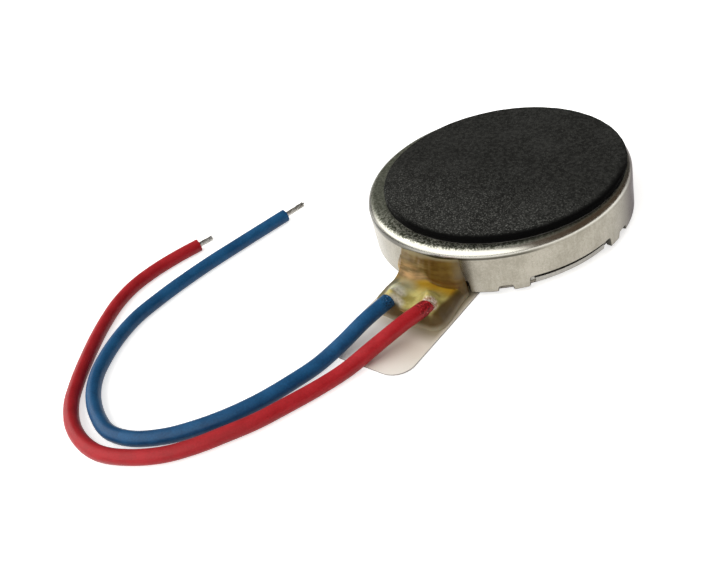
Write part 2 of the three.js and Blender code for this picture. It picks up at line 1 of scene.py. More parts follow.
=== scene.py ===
"""The looks of a coin vibration motor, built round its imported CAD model.

Shapes are worked out in millimetres in the row frame and become metres when a mesh is made.
"""

import json
import math

import bmesh
import bpy
from mathutils import Matrix, Vector, noise


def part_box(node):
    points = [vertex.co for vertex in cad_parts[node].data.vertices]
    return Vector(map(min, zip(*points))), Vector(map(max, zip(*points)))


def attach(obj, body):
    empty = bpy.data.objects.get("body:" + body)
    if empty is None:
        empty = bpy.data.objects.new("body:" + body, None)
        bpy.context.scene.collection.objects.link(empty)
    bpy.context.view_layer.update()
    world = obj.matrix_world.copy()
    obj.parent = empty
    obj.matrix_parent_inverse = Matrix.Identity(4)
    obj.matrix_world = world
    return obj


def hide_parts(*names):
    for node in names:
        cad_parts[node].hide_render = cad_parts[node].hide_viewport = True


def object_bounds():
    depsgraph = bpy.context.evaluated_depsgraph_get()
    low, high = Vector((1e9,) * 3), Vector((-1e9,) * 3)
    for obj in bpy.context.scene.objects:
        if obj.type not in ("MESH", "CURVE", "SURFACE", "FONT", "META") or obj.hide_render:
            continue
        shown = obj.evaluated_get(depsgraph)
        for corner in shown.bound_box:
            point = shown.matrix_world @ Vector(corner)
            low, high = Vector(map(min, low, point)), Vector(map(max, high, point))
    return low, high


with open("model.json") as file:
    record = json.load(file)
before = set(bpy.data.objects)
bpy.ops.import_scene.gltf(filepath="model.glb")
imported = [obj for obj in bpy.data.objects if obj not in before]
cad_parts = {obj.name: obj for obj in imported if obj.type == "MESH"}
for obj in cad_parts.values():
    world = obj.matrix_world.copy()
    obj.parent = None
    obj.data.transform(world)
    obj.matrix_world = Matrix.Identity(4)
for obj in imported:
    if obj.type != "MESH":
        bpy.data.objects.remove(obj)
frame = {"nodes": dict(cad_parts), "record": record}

MM = 0.001
CAD_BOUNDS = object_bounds()


def corners(node):
    """A CAD node's lowest and highest corner, in millimetres."""
    low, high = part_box(node)
    return low / MM, high / MM


def mix(a, b, share):
    return a + (b - a) * share


def ease(value, start, end):
    """0 before start and 1 after end, with a smooth turn between them."""
    share = min(1.0, max(0.0, (value - start) / (end - start)))
    return share * share * (3 - 2 * share)


def hump(x, y, centre, reach):
    """A round hump, 1 at its centre and nearly 0 beyond its reach."""
    away = ((x - centre[0]) / reach[0]) ** 2 + ((y - centre[1]) / reach[1]) ** 2
    return math.exp(-2 * away)


def ripple(place, size, seed=0):
    """Smooth noise from -1 to 1 whose bumps are about size millimetres across."""
    return noise.noise(Vector(place) / size + Vector((seed, seed, seed)))


# ---- The camera ----

CAMERA_PLACE = Vector((16.52, -23.02, 19.19))
CAMERA_HEADING = 48.7  # degrees from +Y towards -X
CAMERA_PITCH = 36.22  # degrees below the horizon
CAMERA_ROLL = -17.32
CAMERA_LENS = 43.28


def turn(angle, axis):
    return Matrix.Rotation(math.radians(angle), 4, axis)


def make_camera():
    data = bpy.data.cameras.new("camera")
    data.sensor_width = 36
    data.lens = CAMERA_LENS
    data.clip_start = MM
    camera = bpy.data.objects.new("camera", data)
    aim = turn(CAMERA_HEADING, "Z") @ turn(90 - CAMERA_PITCH, "X") @ turn(CAMERA_ROLL, "Z")
    camera.matrix_world = Matrix.Translation(CAMERA_PLACE * MM) @ aim
    bpy.context.scene.collection.objects.link(camera)
    bpy.context.scene.camera = camera


# ---- Meshes ----

SAME_PLACE = 1e-8  # metres: points closer than this are welded


class Shell:
    """The rings and faces of one piece while it is being built, in millimetres."""

    def __init__(self):
        self.points = []
        self.faces = []
        self.paints = []

    def ring(self, points):
        first = len(self.points)
        self.points.extend(Vector(point) for point in points)
        return list(range(first, len(self.points)))

    def face(self, numbers, paint):
        self.faces.append(numbers)
        self.paints.append(paint)

    def bridge(self, one, other, paint=0, closed=True):
        """Quads between two rings of the same length, or triangles to a ring of one point."""
        count = max(len(one), len(other))
        for i in range(count if closed else count - 1):
            j = (i + 1) % count
            if len(one) == 1:
                self.face([one[0], other[i], other[j]], paint)
            elif len(other) == 1:
                self.face([one[i], other[0], one[j]], paint)
            else:
                self.face([one[i], other[i], other[j], one[j]], paint)

    def loft(self, rings, paints=None):
        """A skin over rings in their order. Each is a list of points, and paints has one for each gap."""
        numbers = [self.ring(points) for points in rings]
        for i, (one, other) in enumerate(zip(numbers, numbers[1:])):
            self.bridge(one, other, paints[i] if paints else 0)

    def make(self, name, materials, sharp=40, welded=False):
        """The mesh object, in metres. Edges that turn more than sharp degrees stay hard."""
        mesh = bpy.data.meshes.new(name)
        mesh.from_pydata([point * MM for point in self.points], [], self.faces)
        for material in materials:
            mesh.materials.append(material)
        mesh.polygons.foreach_set("material_index", self.paints)
        soften(mesh, sharp, welded)
        made = bpy.data.objects.new(name, mesh)
        bpy.context.scene.collection.objects.link(made)
        return made


def soften(mesh, sharp, welded):
    """Faces turned outwards and shaded smooth, with hard edges where they turn sharply."""
    work = bmesh.new()
    work.from_mesh(mesh)
    if welded:
        bmesh.ops.remove_doubles(work, verts=work.verts, dist=SAME_PLACE)
    bmesh.ops.recalc_face_normals(work, faces=work.faces)
    for face in work.faces:
        face.smooth = True
    for edge in work.edges:
        edge.smooth = edge.calc_face_angle(0) < math.radians(sharp)
    work.to_mesh(mesh)
    work.free()


def install(piece, body, slot, *nodes):
    """The piece rides on a body and stands for the CAD nodes it replaces, which are hidden. Its slot is not
    used.
    """
    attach(piece, body)
    if nodes:
        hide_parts(*nodes)
    return piece


# ---- Outlines: closed lists of 2-D points, anticlockwise ----


def arc(centre, radius, start, end, step=4.0):
    """Points on an arc, angles in degrees."""
    count = max(2, math.ceil(abs(end - start) / step))
    angles = [math.radians(mix(start, end, i / count)) for i in range(count + 1)]
    x, y = centre
    return [Vector((x + radius * math.cos(a), y + radius * math.sin(a))) for a in angles]


LEAST_TURN = 12  # degrees: a corner that turns less isn't rounded


def rounded(outline, radius):
    """The outline with its corners rounded."""
    made = []
    for i, corner in enumerate(outline):
        before = outline[i - 1] - corner
        after = outline[(i + 1) % len(outline)] - corner
        inside = before.angle(after)
        if not 0.01 < inside < math.pi - math.radians(LEAST_TURN):
            made.append(corner)
            continue
        reach = min(radius / math.tan(inside / 2), before.length / 2, after.length / 2)
        start = corner + before.normalized() * reach
        end = corner + after.normalized() * reach
        for share in (0, 0.25, 0.5, 0.75, 1):
            made.append(mix(mix(start, corner, share), mix(corner, end, share), share))
    return made


def divided(outline, step):
    """The closed outline with points added so that none are further apart than step."""
    made = []
    for i, start in enumerate(outline):
        end = outline[(i + 1) % len(outline)]
        count = max(1, math.ceil((end - start).length / step))
        made.extend(mix(start, end, j / count) for j in range(count))
    return made


def outward(outline):
    """The unit normal at each point of a closed outline, pointing out of it."""
    made = []
    for i in range(len(outline)):
        along = outline[(i + 1) % len(outline)] - outline[i - 1]
        made.append(Vector((along.y, -along.x)).normalized())
    return made


def disc_with_tongue(radius, half_width, reach, corner):
    """A disc with a round-cornered tongue along -Y."""
    side = math.degrees(math.asin(half_width / radius))
    disc = arc((0, 0), radius, side - 90, 270 - side, 1.0)
    left = arc((corner - half_width, corner - reach), corner, 180, 270, 6.0)
    right = arc((half_width - corner, corner - reach), corner, 270, 360, 6.0)
    return disc + left + right


def at_height(outline, height):
    return [Vector((point.x, point.y, height)) for point in outline]


def around(radius, angle, height):
    """The point at a distance from the motor's axis, at an angle in radians."""
    return Vector((radius * math.cos(angle), radius * math.sin(angle), height))


def rounding(edge, lean):
    """How far in and how far back a rounded edge is, at an angle in degrees."""
    angle = math.radians(lean)
    return edge * (1 - math.cos(angle)), edge * (1 - math.sin(angle))


def plate(outline, bottom, top, edge, rings, hole=0.0):
    """Rings of a flat plate with rounded edges, from its top's middle or hole round to its bottom's."""
    normals = outward(outline)
    start = [point.normalized() * hole for point in outline]

    def inset(distance):
        return [point - normal * distance for point, normal in zip(outline, normals)]

    def half(height, side):
        """Rings from the middle of one face out to the plate's side."""
        flat = inset(2 * edge)
        made = [at_height(start, height) if hole else [Vector((0, 0, height))]]
        for i in range(1, rings + 1):
            made.append(at_height([mix(a, b, i / rings) for a, b in zip(start, flat)], height))
        for lean in (90, 60, 30, 0):
            inwards, drop = rounding(edge, lean)
            made.append(at_height(inset(inwards), height - side * drop))
        return made

    return [*half(top, 1), *reversed(half(bottom, -1))]


# ---- Lines and tubes ----


def smooth_line(points, spacing):
    """Points about spacing apart on a smooth curve through the given ones."""
    points = [Vector(point) for point in points]
    line = [2 * points[0] - points[1], *points, 2 * points[-1] - points[-2]]
    made = []
    for a, b, c, d in zip(line, line[1:], line[2:], line[3:]):
        count = max(1, math.ceil((c - b).length / spacing))
        for i in range(count):
            t = i / count
            bend = (2 * a - 5 * b + 4 * c - d) * t * t + (3 * b - a - 3 * c + d) * t * t * t
            made.append((2 * b + (c - a) * t + bend) / 2)
    return [*made, points[-1]]


def frames(line):
    """At each point of a line, two unit vectors across it that turn as little as they can."""
    made = []
    across = Vector((0, 0, 1))
    for i in range(len(line)):
        along = (line[min(i + 1, len(line) - 1)] - line[max(i - 1, 0)]).normalized()
        across = (across - along * across.dot(along)).normalized()
        made.append((across, along.cross(across)))
    return made


def distances(line):
    """How far along the line each of its points is."""
    made = [0.0]
    for one, other in zip(line, line[1:]):
        made.append(made[-1] + (other - one).length)
    return made


def round_ring(centre, across, radius, sides):
    """A ring about a point of a line. radius is a number or a function of the angle."""
    one, other = across
    made = []
    for i in range(sides):
        angle = 2 * math.pi * i / sides
        size = radius(angle) if callable(radius) else radius
        made.append(centre + (one * math.cos(angle) + other * math.sin(angle)) * size)
    return made


# ---- The can's dimensions ----

CAN_RADIUS = corners("case_can")[1].x
CAN_RIM = corners("case_can")[0].z
CAN_TOP = corners("case_can")[1].z
SHEET = 0.2
SHOULDER = 0.3
SEAM = CAN_TOP - SHOULDER  # where the wall ends and the shoulder starts
RIM_EDGE = 0.032  # how much the sheared edges of the steel are rounded
RIM_CORNER = 0.08  # how much the corners of the rim's openings are rounded
RIM_STEP = 0.07  # between the points of the rim
RIM_DRAFT = 0.02  # how far each side of an opening leans, out at the rim and in at its top
RIM_START = -120  # degrees: where the unrolled rim starts

EARS = (90, -28, 208)  # degrees: the bracket's ears, each in a long recess of the can's rim
RECESS = (19.3, 0.39)  # half angle and height of a recess, above the rim
NOTCH = (2.8, 0.21)
NOTCH_FROM_EAR = 29.2
# The last notch is left out: the rim is whole between its ear and the tab.
NOTCHES = [ear + side * NOTCH_FROM_EAR for ear in EARS for side in (-1, 1)][:-1]
EXIT = (18, 0.50)  # where the tab comes out
SEAT_RADIUS = 0.42  # of the shaft's seat, a shallow hollow in the ceiling
SEAT_DEPTH = 0.06


# ---- Materials ----


class Nodes:
    """The nodes of one shader tree, made and linked by short calls."""

    def __init__(self, tree):
        self.tree = tree

    def set(self, socket, value):
        """A socket takes another node's output, a number, a vector or an (r, g, b)."""
        if isinstance(value, bpy.types.NodeSocket):
            self.tree.links.new(value, socket)
        elif socket.type == "RGBA":
            socket.default_value = (*value, 1)
        else:
            socket.default_value = value

    def node(self, kind, inputs, **settings):
        """A new node. Its settings come first, because they can change its sockets."""
        made = self.tree.nodes.new(kind)
        for name, value in settings.items():
            setattr(made, name, value)
        for socket, value in inputs.items():
            self.set(made.inputs[socket], value)
        return made

    def maths(self, operation, *values):
        return self.node("ShaderNodeMath", dict(enumerate(values)), operation=operation).outputs[0]

    def product(self, *values):
        made = values[0]
        for value in values[1:]:
            made = self.maths("MULTIPLY", made, value)
        return made

    def weighted(self, *pairs):
        """The sum of some values, each times its weight."""
        made = 0.0
        for value, weight in pairs:
            made = self.maths("MULTIPLY_ADD", value, weight, made)
        return made

    def spread(self, value, low, high, to_low=0.0, to_high=1.0):
        """A value mapped smoothly from one range to another and held at its ends."""
        inputs = {0: value, 1: low, 2: high, 3: to_low, 4: to_high}
        return self.node("ShaderNodeMapRange", inputs, interpolation_type="SMOOTHSTEP").outputs[0]

    def blend(self, share, one, other):
        """A colour between two others."""
        return self.node("ShaderNodeMix", {0: share, 6: one, 7: other}, data_type="RGBA").outputs[2]


class Paint(Nodes):
    """A material's Principled shader and the nodes that feed it."""

    def __init__(self, name, **values):
        self.material = bpy.data.materials.new(name)
        self.material.use_nodes = True
        super().__init__(self.material.node_tree)
        for socket, value in values.items():
            self.feed(socket.replace("_", " "), value)

    def feed(self, socket, value):
        self.set(self.tree.nodes["Principled BSDF"].inputs[socket], value)

    def place(self, stretch=(1, 1, 1)):
        """The point being shaded, in millimetres in the row frame, times stretch."""
        where = self.node("ShaderNodeTexCoord", {}).outputs["Object"]
        scale = tuple(share / MM for share in stretch)
        return self.node("ShaderNodeMapping", {"Vector": where, "Scale": scale}).outputs[0]

    def axis(self, name):
        """One coordinate of the point being shaded, in millimetres."""
        return self.node("ShaderNodeSeparateXYZ", {"Vector": self.place()}).outputs[name]

    def region(self, strength=1.0, **sides):
        """The strength inside a region and 0 outside. Each axis has where it is 0 and where it is full."""
        made = strength
        for name, (none, full) in sides.items():
            made = self.product(made, self.spread(self.axis(name), none, full))
        return made

    def noise(self, size, detail, stretch=(1, 1, 1), roughness=0.5):
        """Noise from 0 to 1 with bumps about size millimetres across."""
        inputs = {0: self.place(stretch), "Scale": 1 / size, "Detail": detail, "Roughness": roughness}
        return self.node("ShaderNodeTexNoise", inputs).outputs["Fac"]

    def cells(self, size):
        """The distance to the nearest of many scattered points, about size millimetres apart."""
        inputs = {"Vector": self.place(), "Scale": 1 / size}
        return self.node("ShaderNodeTexVoronoi", inputs).outputs["Distance"]

    def near(self, point, full, none):
        """1 within a distance of a point in the row frame, falling to 0 at a longer one."""
        inputs = {0: self.place(), 1: point}
        away = self.node("ShaderNodeVectorMath", inputs, operation="DISTANCE").outputs["Value"]
        return self.spread(away, full, none, 1.0, 0.0)

    def bump(self, height, depth, strength):
        """Relief from a height of 0 to 1 that stands for depth millimetres."""
        inputs = {"Height": height, "Distance": depth * MM, "Strength": strength}
        self.feed("Normal", self.node("ShaderNodeBump", inputs).outputs["Normal"])


def metal(name, light, dark, roughness, grain=0.12, relief=0.004):
    """A metal with cloudy tone, fine grain in its polish and a slight relief."""
    paint = Paint(name, Metallic=1.0)
    clouds = paint.noise(1.4, 3.0)
    fine = paint.noise(grain, 3.0)
    tone = paint.weighted((clouds, 0.45), (fine, 0.55))
    paint.feed("Base Color", paint.blend(paint.spread(tone, 0.3, 0.7), dark, light))
    paint.feed("Roughness", paint.spread(fine, 0.25, 0.75, roughness * 0.75, roughness * 1.3))
    paint.bump(fine, relief, 0.6)
    return paint.material


def plastic(name, light, dark, roughness, relief=0.003, **values):
    """A plastic with slightly uneven tone and gloss."""
    paint = Paint(name, **values)
    tone = paint.noise(0.9, 4.0)
    fine = paint.noise(0.08, 3.0)
    paint.feed("Base Color", paint.blend(paint.spread(tone, 0.3, 0.7), dark, light))
    paint.feed("Roughness", paint.spread(fine, 0.3, 0.7, roughness * 0.85, roughness * 1.2))
    paint.bump(fine, relief, 0.5)
    return paint.material


# ---- The can's steel ----


def steel_side(paint, lines, clouds, grain):
    """The drawn wall, and the shoulder above it painted brighter: partly its polish, partly a painted
    highlight.
    """
    tone = paint.weighted((clouds, 0.5), (lines, 0.15), (grain, 0.35))
    wall = paint.blend(paint.spread(tone, 0.36, 0.64), (0.265, 0.247, 0.203), (0.37, 0.347, 0.295))
    # painted highlight: the shoulder's steel has a lighter base colour than the wall
    return paint.blend(paint.region(Z=(SEAM, SEAM + 0.1)), wall, (0.55, 0.54, 0.49))


def steel_top(paint, grain):
    """The dull ring round the foam. Near the tab its grain's pits are painted darker and its peaks are
    painted as bright glints.
    """
    front_glints_and_shade = paint.region(Y=(-3.2, -4.6))
    # painted light and shade: in front the pits darken and the peaks turn to bright glints
    pits = paint.blend(front_glints_and_shade, (0.23, 0.24, 0.19), (0.13, 0.14, 0.10))
    peaks = paint.blend(front_glints_and_shade, (0.46, 0.47, 0.40), (0.90, 0.90, 0.80))
    return paint.blend(paint.spread(grain, 0.43, 0.60), pits, peaks)


def shoulder_shade_line(paint):
    """How dark the painted shade line under the shoulder is, standing for a dark reflection: most in front,
    least at the far right.
    """
    height, east = paint.axis("Z"), paint.axis("X")
    return paint.product(
        paint.spread(height, SEAM - 0.07, SEAM - 0.04),
        paint.spread(height, SEAM, SEAM + 0.07, 1.0, 0.0),
        paint.spread(east, -2.0, 1.2, 0.25, 0.85),
        paint.spread(east, 4.2, 3.2, 0.1, 1.0),
    )


def steel_right_shade(paint, clouds):
    """How much painted shade darkens the can's right side, mottled by the clouds."""
    edge = paint.weighted((paint.axis("Y"), 1.0), (clouds, 0.5))
    return paint.product(paint.spread(edge, -0.6, 1.9), paint.region(X=(0.0, 2.0), Y=(4.3, 3.0)))


def shoulder_shade(paint):
    """How much painted shade darkens the shoulder, standing for the dark it reflects: on its left side, and
    low down in front.
    """
    west = paint.region(X=(-2.3, -3.6), Y=(3.2, 1.5))
    foot = paint.region(0.9, X=(1.0, -1.8), Z=(SEAM + 0.20, SEAM + 0.12))
    above_wall = paint.region(Z=(SEAM - 0.10, SEAM - 0.02))
    return paint.product(above_wall, paint.maths("MAXIMUM", west, foot))


def can_steel():
    """Nickel on drawn steel: a warm, cloudy wall, a dull grainy top, and painted shade and highlights on
    the shoulder and the right side.
    """
    paint = Paint("nickel_steel", Metallic=1.0)
    lines = paint.noise(0.09, 2.0, (1, 1, 0.08))
    clouds = paint.noise(0.8, 4.0)
    grain = paint.noise(0.075, 2.0, roughness=0.75)
    on_top = paint.region(Z=(CAN_TOP - 0.07, CAN_TOP - 0.01))
    right_shade = steel_right_shade(paint, clouds)
    side = steel_side(paint, lines, clouds, grain)
    # painted shade: a dark line under the shoulder, standing for a dark reflection
    side = paint.blend(shoulder_shade_line(paint), side, (0.045, 0.043, 0.032))
    # painted shade on the can's right side
    side = paint.blend(paint.product(right_shade, 0.6), side, (0.085, 0.080, 0.078))
    # painted shade over the shoulder's left side and low front
    side = paint.blend(shoulder_shade(paint), side, (0.098, 0.095, 0.080))
    paint.feed("Base Color", paint.blend(on_top, side, steel_top(paint, grain)))
    # painted shade: the right side's reflections are tinted darker too
    paint.feed("Specular Tint", paint.blend(right_shade, (1, 1, 1), (0.40, 0.38, 0.40)))
    polish = paint.spread(clouds, 0.3, 0.7, 0.20, 0.28)
    paint.feed("Roughness", paint.weighted((polish, 1.0), (on_top, 0.16)))
    paint.bump(paint.weighted((lines, 1.0), (paint.product(grain, on_top), 1.6)), 0.002, 0.3)
    return paint.material


def shaded_rim_edge():
    """Painted shade along the rounded edges of the can's rim, dark as the shadow it reflects beneath."""
    return metal("shaded_rim_edge", (0.10, 0.095, 0.08), (0.045, 0.042, 0.036), 0.5, 0.05)


# ---- The foam's skin ----

FOAM_SHADE = (0.0025, 0.0025, 0.0025)  # painted shade: black down its cut side and round its face's edge, on its near side


def foam_face(paint, cells, fine):
    """Dark pitted foam, with pale specks painted as glints, more of them on its near side."""
    coarse = paint.noise(0.16, 2.0)
    patches = paint.spread(paint.noise(1.6, 3.0), 0.35, 0.65)
    base = paint.blend(patches, (0.013, 0.0132, 0.0125), (0.019, 0.0193, 0.0185))
    pitted = paint.blend(paint.spread(cells, 0.0, 0.3), (0.009, 0.009, 0.009), base)
    mottled = paint.blend(paint.spread(coarse, 0.42, 0.62, 0.0, 0.35), pitted, (0.048, 0.049, 0.046))
    near = paint.spread(paint.axis("Y"), 0.5, -4.5, 0.16, 0.85)
    return paint.blend(paint.product(paint.spread(fine, 0.52, 0.68), near), mottled, (0.17, 0.175, 0.165))


def foam_skin():
    """Fine-celled dark foam: pale specks where cell walls catch the light, and painted shade that blackens
    its cut side and the rim of its face on the near side.
    """
    low, high = corners("foam_pad")
    paint = Paint("foam", Roughness=0.9, Specular_IOR_Level=0.03)
    cells = paint.cells(0.085)
    fine = paint.noise(0.055, 2.0, roughness=0.7)
    forwards = paint.weighted((paint.axis("X"), 0.64), (paint.axis("Y"), -0.77))
    near_side_shade = paint.spread(forwards, 0.6, 2.8)
    middle = ((low.x + high.x) / 2, (low.y + high.y) / 2, high.z)
    outer = paint.maths("SUBTRACT", 1.0, paint.near(middle, 4.22, 4.50))
    # painted shade round the face's edge and down the cut side, on the near side
    face = paint.blend(paint.product(outer, near_side_shade), foam_face(paint, cells, fine), FOAM_SHADE)
    side = paint.blend(near_side_shade, (0.012, 0.012, 0.0115), FOAM_SHADE)
    on_side = paint.spread(paint.axis("Z"), high.z - 0.045, high.z - 0.010, 1.0, 0.0)
    paint.feed("Base Color", paint.blend(on_side, face, side))
    paint.bump(paint.weighted((fine, 1.0), (cells, -0.6)), 0.02, 0.8)
    return paint.material


# ---- The leads' insulation ----

RED_CUT = (1.06, -6.62, 0.88)  # where each lead's cut end is smeared with glue
BLUE_CUT = (-0.36, -6.80, 0.80)


def insulation(name, light, dark, cut):
    """Soft lead insulation: a satin skin with dusty patches, smeared with glue round its cut end."""
    paint = Paint(name, Subsurface_Weight=0.05, Subsurface_Scale=0.15 * MM, Specular_IOR_Level=0.26)
    patches = paint.noise(0.7, 4.0)
    tone = paint.weighted((patches, 0.6), (paint.noise(0.07, 3.0), 0.4))
    skin = paint.blend(paint.spread(tone, 0.3, 0.7), dark, light)
    mottle = paint.noise(0.06, 3.0, roughness=0.7)
    stained = tuple(0.30 * level for level in dark)
    smear = paint.blend(paint.spread(mottle, 0.35, 0.65), stained, light)
    smear = paint.blend(paint.spread(mottle, 0.60, 0.75, 0.0, 0.55), smear, (0.55, 0.45, 0.42))
    paint.feed("Base Color", paint.blend(paint.near(cut, 0.32, 0.56), skin, smear))
    paint.feed("Roughness", paint.spread(patches, 0.3, 0.7, 0.34, 0.48))
    paint.bump(tone, 0.012, 0.5)
    return paint.material


# ---- The glue's colours ----

GLUE_STAIN_AND_SHADOW = (0.33, 0.28, 0.19)  # the thin glue at the pool's foot, and the film beside it: partly glue stain, partly painted shadow
WALL_SKIN = 0.07  # how thick the amber glue is on the can's wall
FOOT_BULGE = 0.24  # how much thicker it is at its foot, on the red lead's side


def glue_on_wall(paint, bands, tone):
    """Banded amber, browner on the right, with a painted peach highlight, a grey top and painted shade in
    the crease below.
    """
    left = paint.blend(tone, (0.105, 0.060, 0.012), (0.235, 0.170, 0.070))
    right = paint.blend(tone, (0.075, 0.036, 0.003), (0.160, 0.098, 0.020))
    wall = paint.blend(paint.region(X=(-0.30, 0.35)), left, right)
    # painted highlight: a peach patch on the glue
    peach_highlight = paint.region(0.8, X=(0.2, -0.3), Z=(0.62, 0.80))
    peach_highlight = paint.product(peach_highlight, paint.region(Z=(1.20, 0.95)), paint.spread(bands, 0.36, 0.66))
    wall = paint.blend(peach_highlight, wall, (0.50, 0.29, 0.115))
    wall = paint.blend(paint.region(0.45, Z=(1.50, 1.64)), wall, (0.20, 0.19, 0.12))
    # painted shade in the crease between wall glue and tab
    crease_shade = paint.region(0.6, X=(-0.2, 0.4), Z=(0.86, 0.68))
    return paint.blend(crease_shade, wall, (0.100, 0.046, 0.002))


def glue_on_tab(paint, clouds, fine):
    """Gold in the corner and olive in front, with milky streaks and smears at the leads' ends, and painted
    shade in the hollow at the blue lead's end.
    """
    gold = paint.blend(clouds, (0.23, 0.120, 0.004), (0.44, 0.270, 0.022))
    olive = paint.blend(paint.spread(clouds, 0.35, 0.65), (0.29, 0.24, 0.065), (0.55, 0.48, 0.17))
    tab = paint.blend(paint.region(Y=(-5.95, -5.35)), olive, gold)
    milk = paint.blend(paint.spread(fine, 0.3, 0.7), (0.50, 0.48, 0.40), (0.78, 0.75, 0.67))
    upper = paint.near((-0.40, -6.24, 0.9), 0.12, 0.40)
    lower = paint.near((-0.19, -6.72, 0.85), 0.14, 0.42)
    tab = paint.blend(paint.product(paint.maths("MAXIMUM", upper, lower), 0.9), tab, milk)
    haze = paint.product(paint.near((-0.62, -5.85, 0.7), 0.2, 0.75), 0.6)
    tab = paint.blend(haze, tab, (0.36, 0.38, 0.30))
    # painted shade in the hollow at the blue lead's cut end
    tab = paint.blend(paint.near((-0.20, -6.86, 0.66), 0.08, 0.26), tab, (0.022, 0.026, 0.012))
    pink = paint.blend(paint.spread(fine, 0.4, 0.6), (0.34, 0.20, 0.13), (0.74, 0.62, 0.54))
    return paint.blend(paint.near((1.08, -6.46, 0.88), 0.20, 0.36), tab, pink)


def glue_with_sides(paint, body, clouds):
    """The body's colour, with the pool's right side, front and left flank painted over it."""
    brown = paint.blend(clouds, (0.052, 0.030, 0.006), (0.140, 0.088, 0.028))
    # the pool's sides turn low down to glue stain and painted shadow
    side = paint.blend(paint.region(Z=(0.34, 0.08)), brown, GLUE_STAIN_AND_SHADOW)
    body = paint.blend(paint.region(X=(1.22, 1.38), Z=(0.82, 0.68)), body, side)
    body = paint.blend(paint.region(Y=(-6.62, -6.84), Z=(0.78, 0.62)), body, side)
    flank = paint.region(0.9, X=(-0.80, -1.02), Y=(-5.2, -5.6))
    body = paint.blend(flank, body, (0.130, 0.112, 0.070))
    fading = paint.region(0.55, X=(0.95, 1.50), Z=(0.76, 1.0))
    return paint.blend(fading, body, (0.17, 0.145, 0.10))


def glue_corner_shade(paint):
    """How dark the painted shade is in the line where the glue on the wall meets the pool, on the red
    lead's side.
    """
    across, along = paint.axis("X"), paint.axis("Y")
    from_axis = paint.maths("SQRT", paint.weighted((along, along), (across, across)))
    wall = CAN_RADIUS + WALL_SKIN
    gap = paint.maths("SUBTRACT", from_axis, paint.spread(across, -0.5, 1.0, wall, wall + FOOT_BULGE))
    return paint.product(
        paint.spread(gap, 0.10, 0.02), paint.spread(gap, -0.10, -0.03),
        paint.region(0.85, X=(-0.25, 0.35), Z=(0.84, 0.72)), paint.region(Z=(0.56, 0.62)),
    )


def glue(name):
    """Cured glue, painted by place as its depth over the metal colours it, with a painted highlight on the
    wall and painted shade in its crease, corner and hollow.
    """
    paint = Paint(
        name, IOR=1.45, Specular_IOR_Level=0.2, Coat_Weight=0.04, Coat_Roughness=0.2,
        Subsurface_Weight=0.15, Subsurface_Scale=0.15 * MM,
    )
    bands = paint.noise(0.22, 3.0, (0.25, 0.25, 1.3))
    clouds = paint.noise(0.5, 4.0)
    fine = paint.noise(0.1, 3.0)
    tone = paint.spread(paint.weighted((clouds, 0.45), (bands, 0.55)), 0.34, 0.66)
    behind = paint.region(Y=(-5.75, -5.35), Z=(0.65, 0.74))
    body = paint.blend(behind, glue_on_tab(paint, clouds, fine), glue_on_wall(paint, bands, tone))
    body = glue_with_sides(paint, body, clouds)
    # painted shade in the corner between the wall glue and the pool
    paint.feed("Base Color", paint.blend(glue_corner_shade(paint), body, (0.075, 0.031, 0.001)))
    paint.feed("Roughness", paint.spread(fine, 0.3, 0.7, 0.30, 0.50))
    paint.bump(tone, 0.012, 0.4)
    return paint.material


# ---- The liner's film ----


def liner_film():
    """Milky release film, faintly warm, with glue stain and painted shadow by the pool, a paler patch
    painted to lift the leads' shadow, and soft creases in its gloss.
    """
    paint = Paint("liner_film", IOR=1.45, Coat_Weight=0.25, Coat_Roughness=0.15)
    clouds = paint.noise(1.6, 3.0)
    across, along = paint.axis("X"), paint.axis("Y")
    film = paint.blend(clouds, (0.68, 0.62, 0.525), (0.84, 0.79, 0.71))
    film = paint.blend(paint.region(0.7, Y=(-7.6, -9.2)), film, (0.92, 0.89, 0.84))
    # painted light: a paler patch that lifts the leads' shadow on the film
    film = paint.blend(paint.region(X=(0.5, -0.5), Y=(-6.9, -7.5)), film, (0.97, 0.94, 0.90))
    # glue stain and painted shadow round the pool's foot
    stain_and_shadow = paint.product(
        paint.spread(paint.weighted((along, 1.0), (clouds, 0.5)), -7.40, -6.55),
        paint.region(X=(-0.9, 0.8)),
        paint.spread(across, 1.75, 1.52, 0.1, 1.0),
    )
    paint.feed("Base Color", paint.blend(stain_and_shadow, film, GLUE_STAIN_AND_SHADOW))
    paint.feed("Roughness", paint.spread(clouds, 0.3, 0.7, 0.28, 0.45))
    paint.bump(clouds, 0.02, 0.4)
    return paint.material


def liner_edge():
    """The film's cut edge, where it looks darkest."""
    return plastic("liner_edge", (0.36, 0.33, 0.31), (0.24, 0.22, 0.21), 0.4)


# ---- A material for each of the record's slots ----


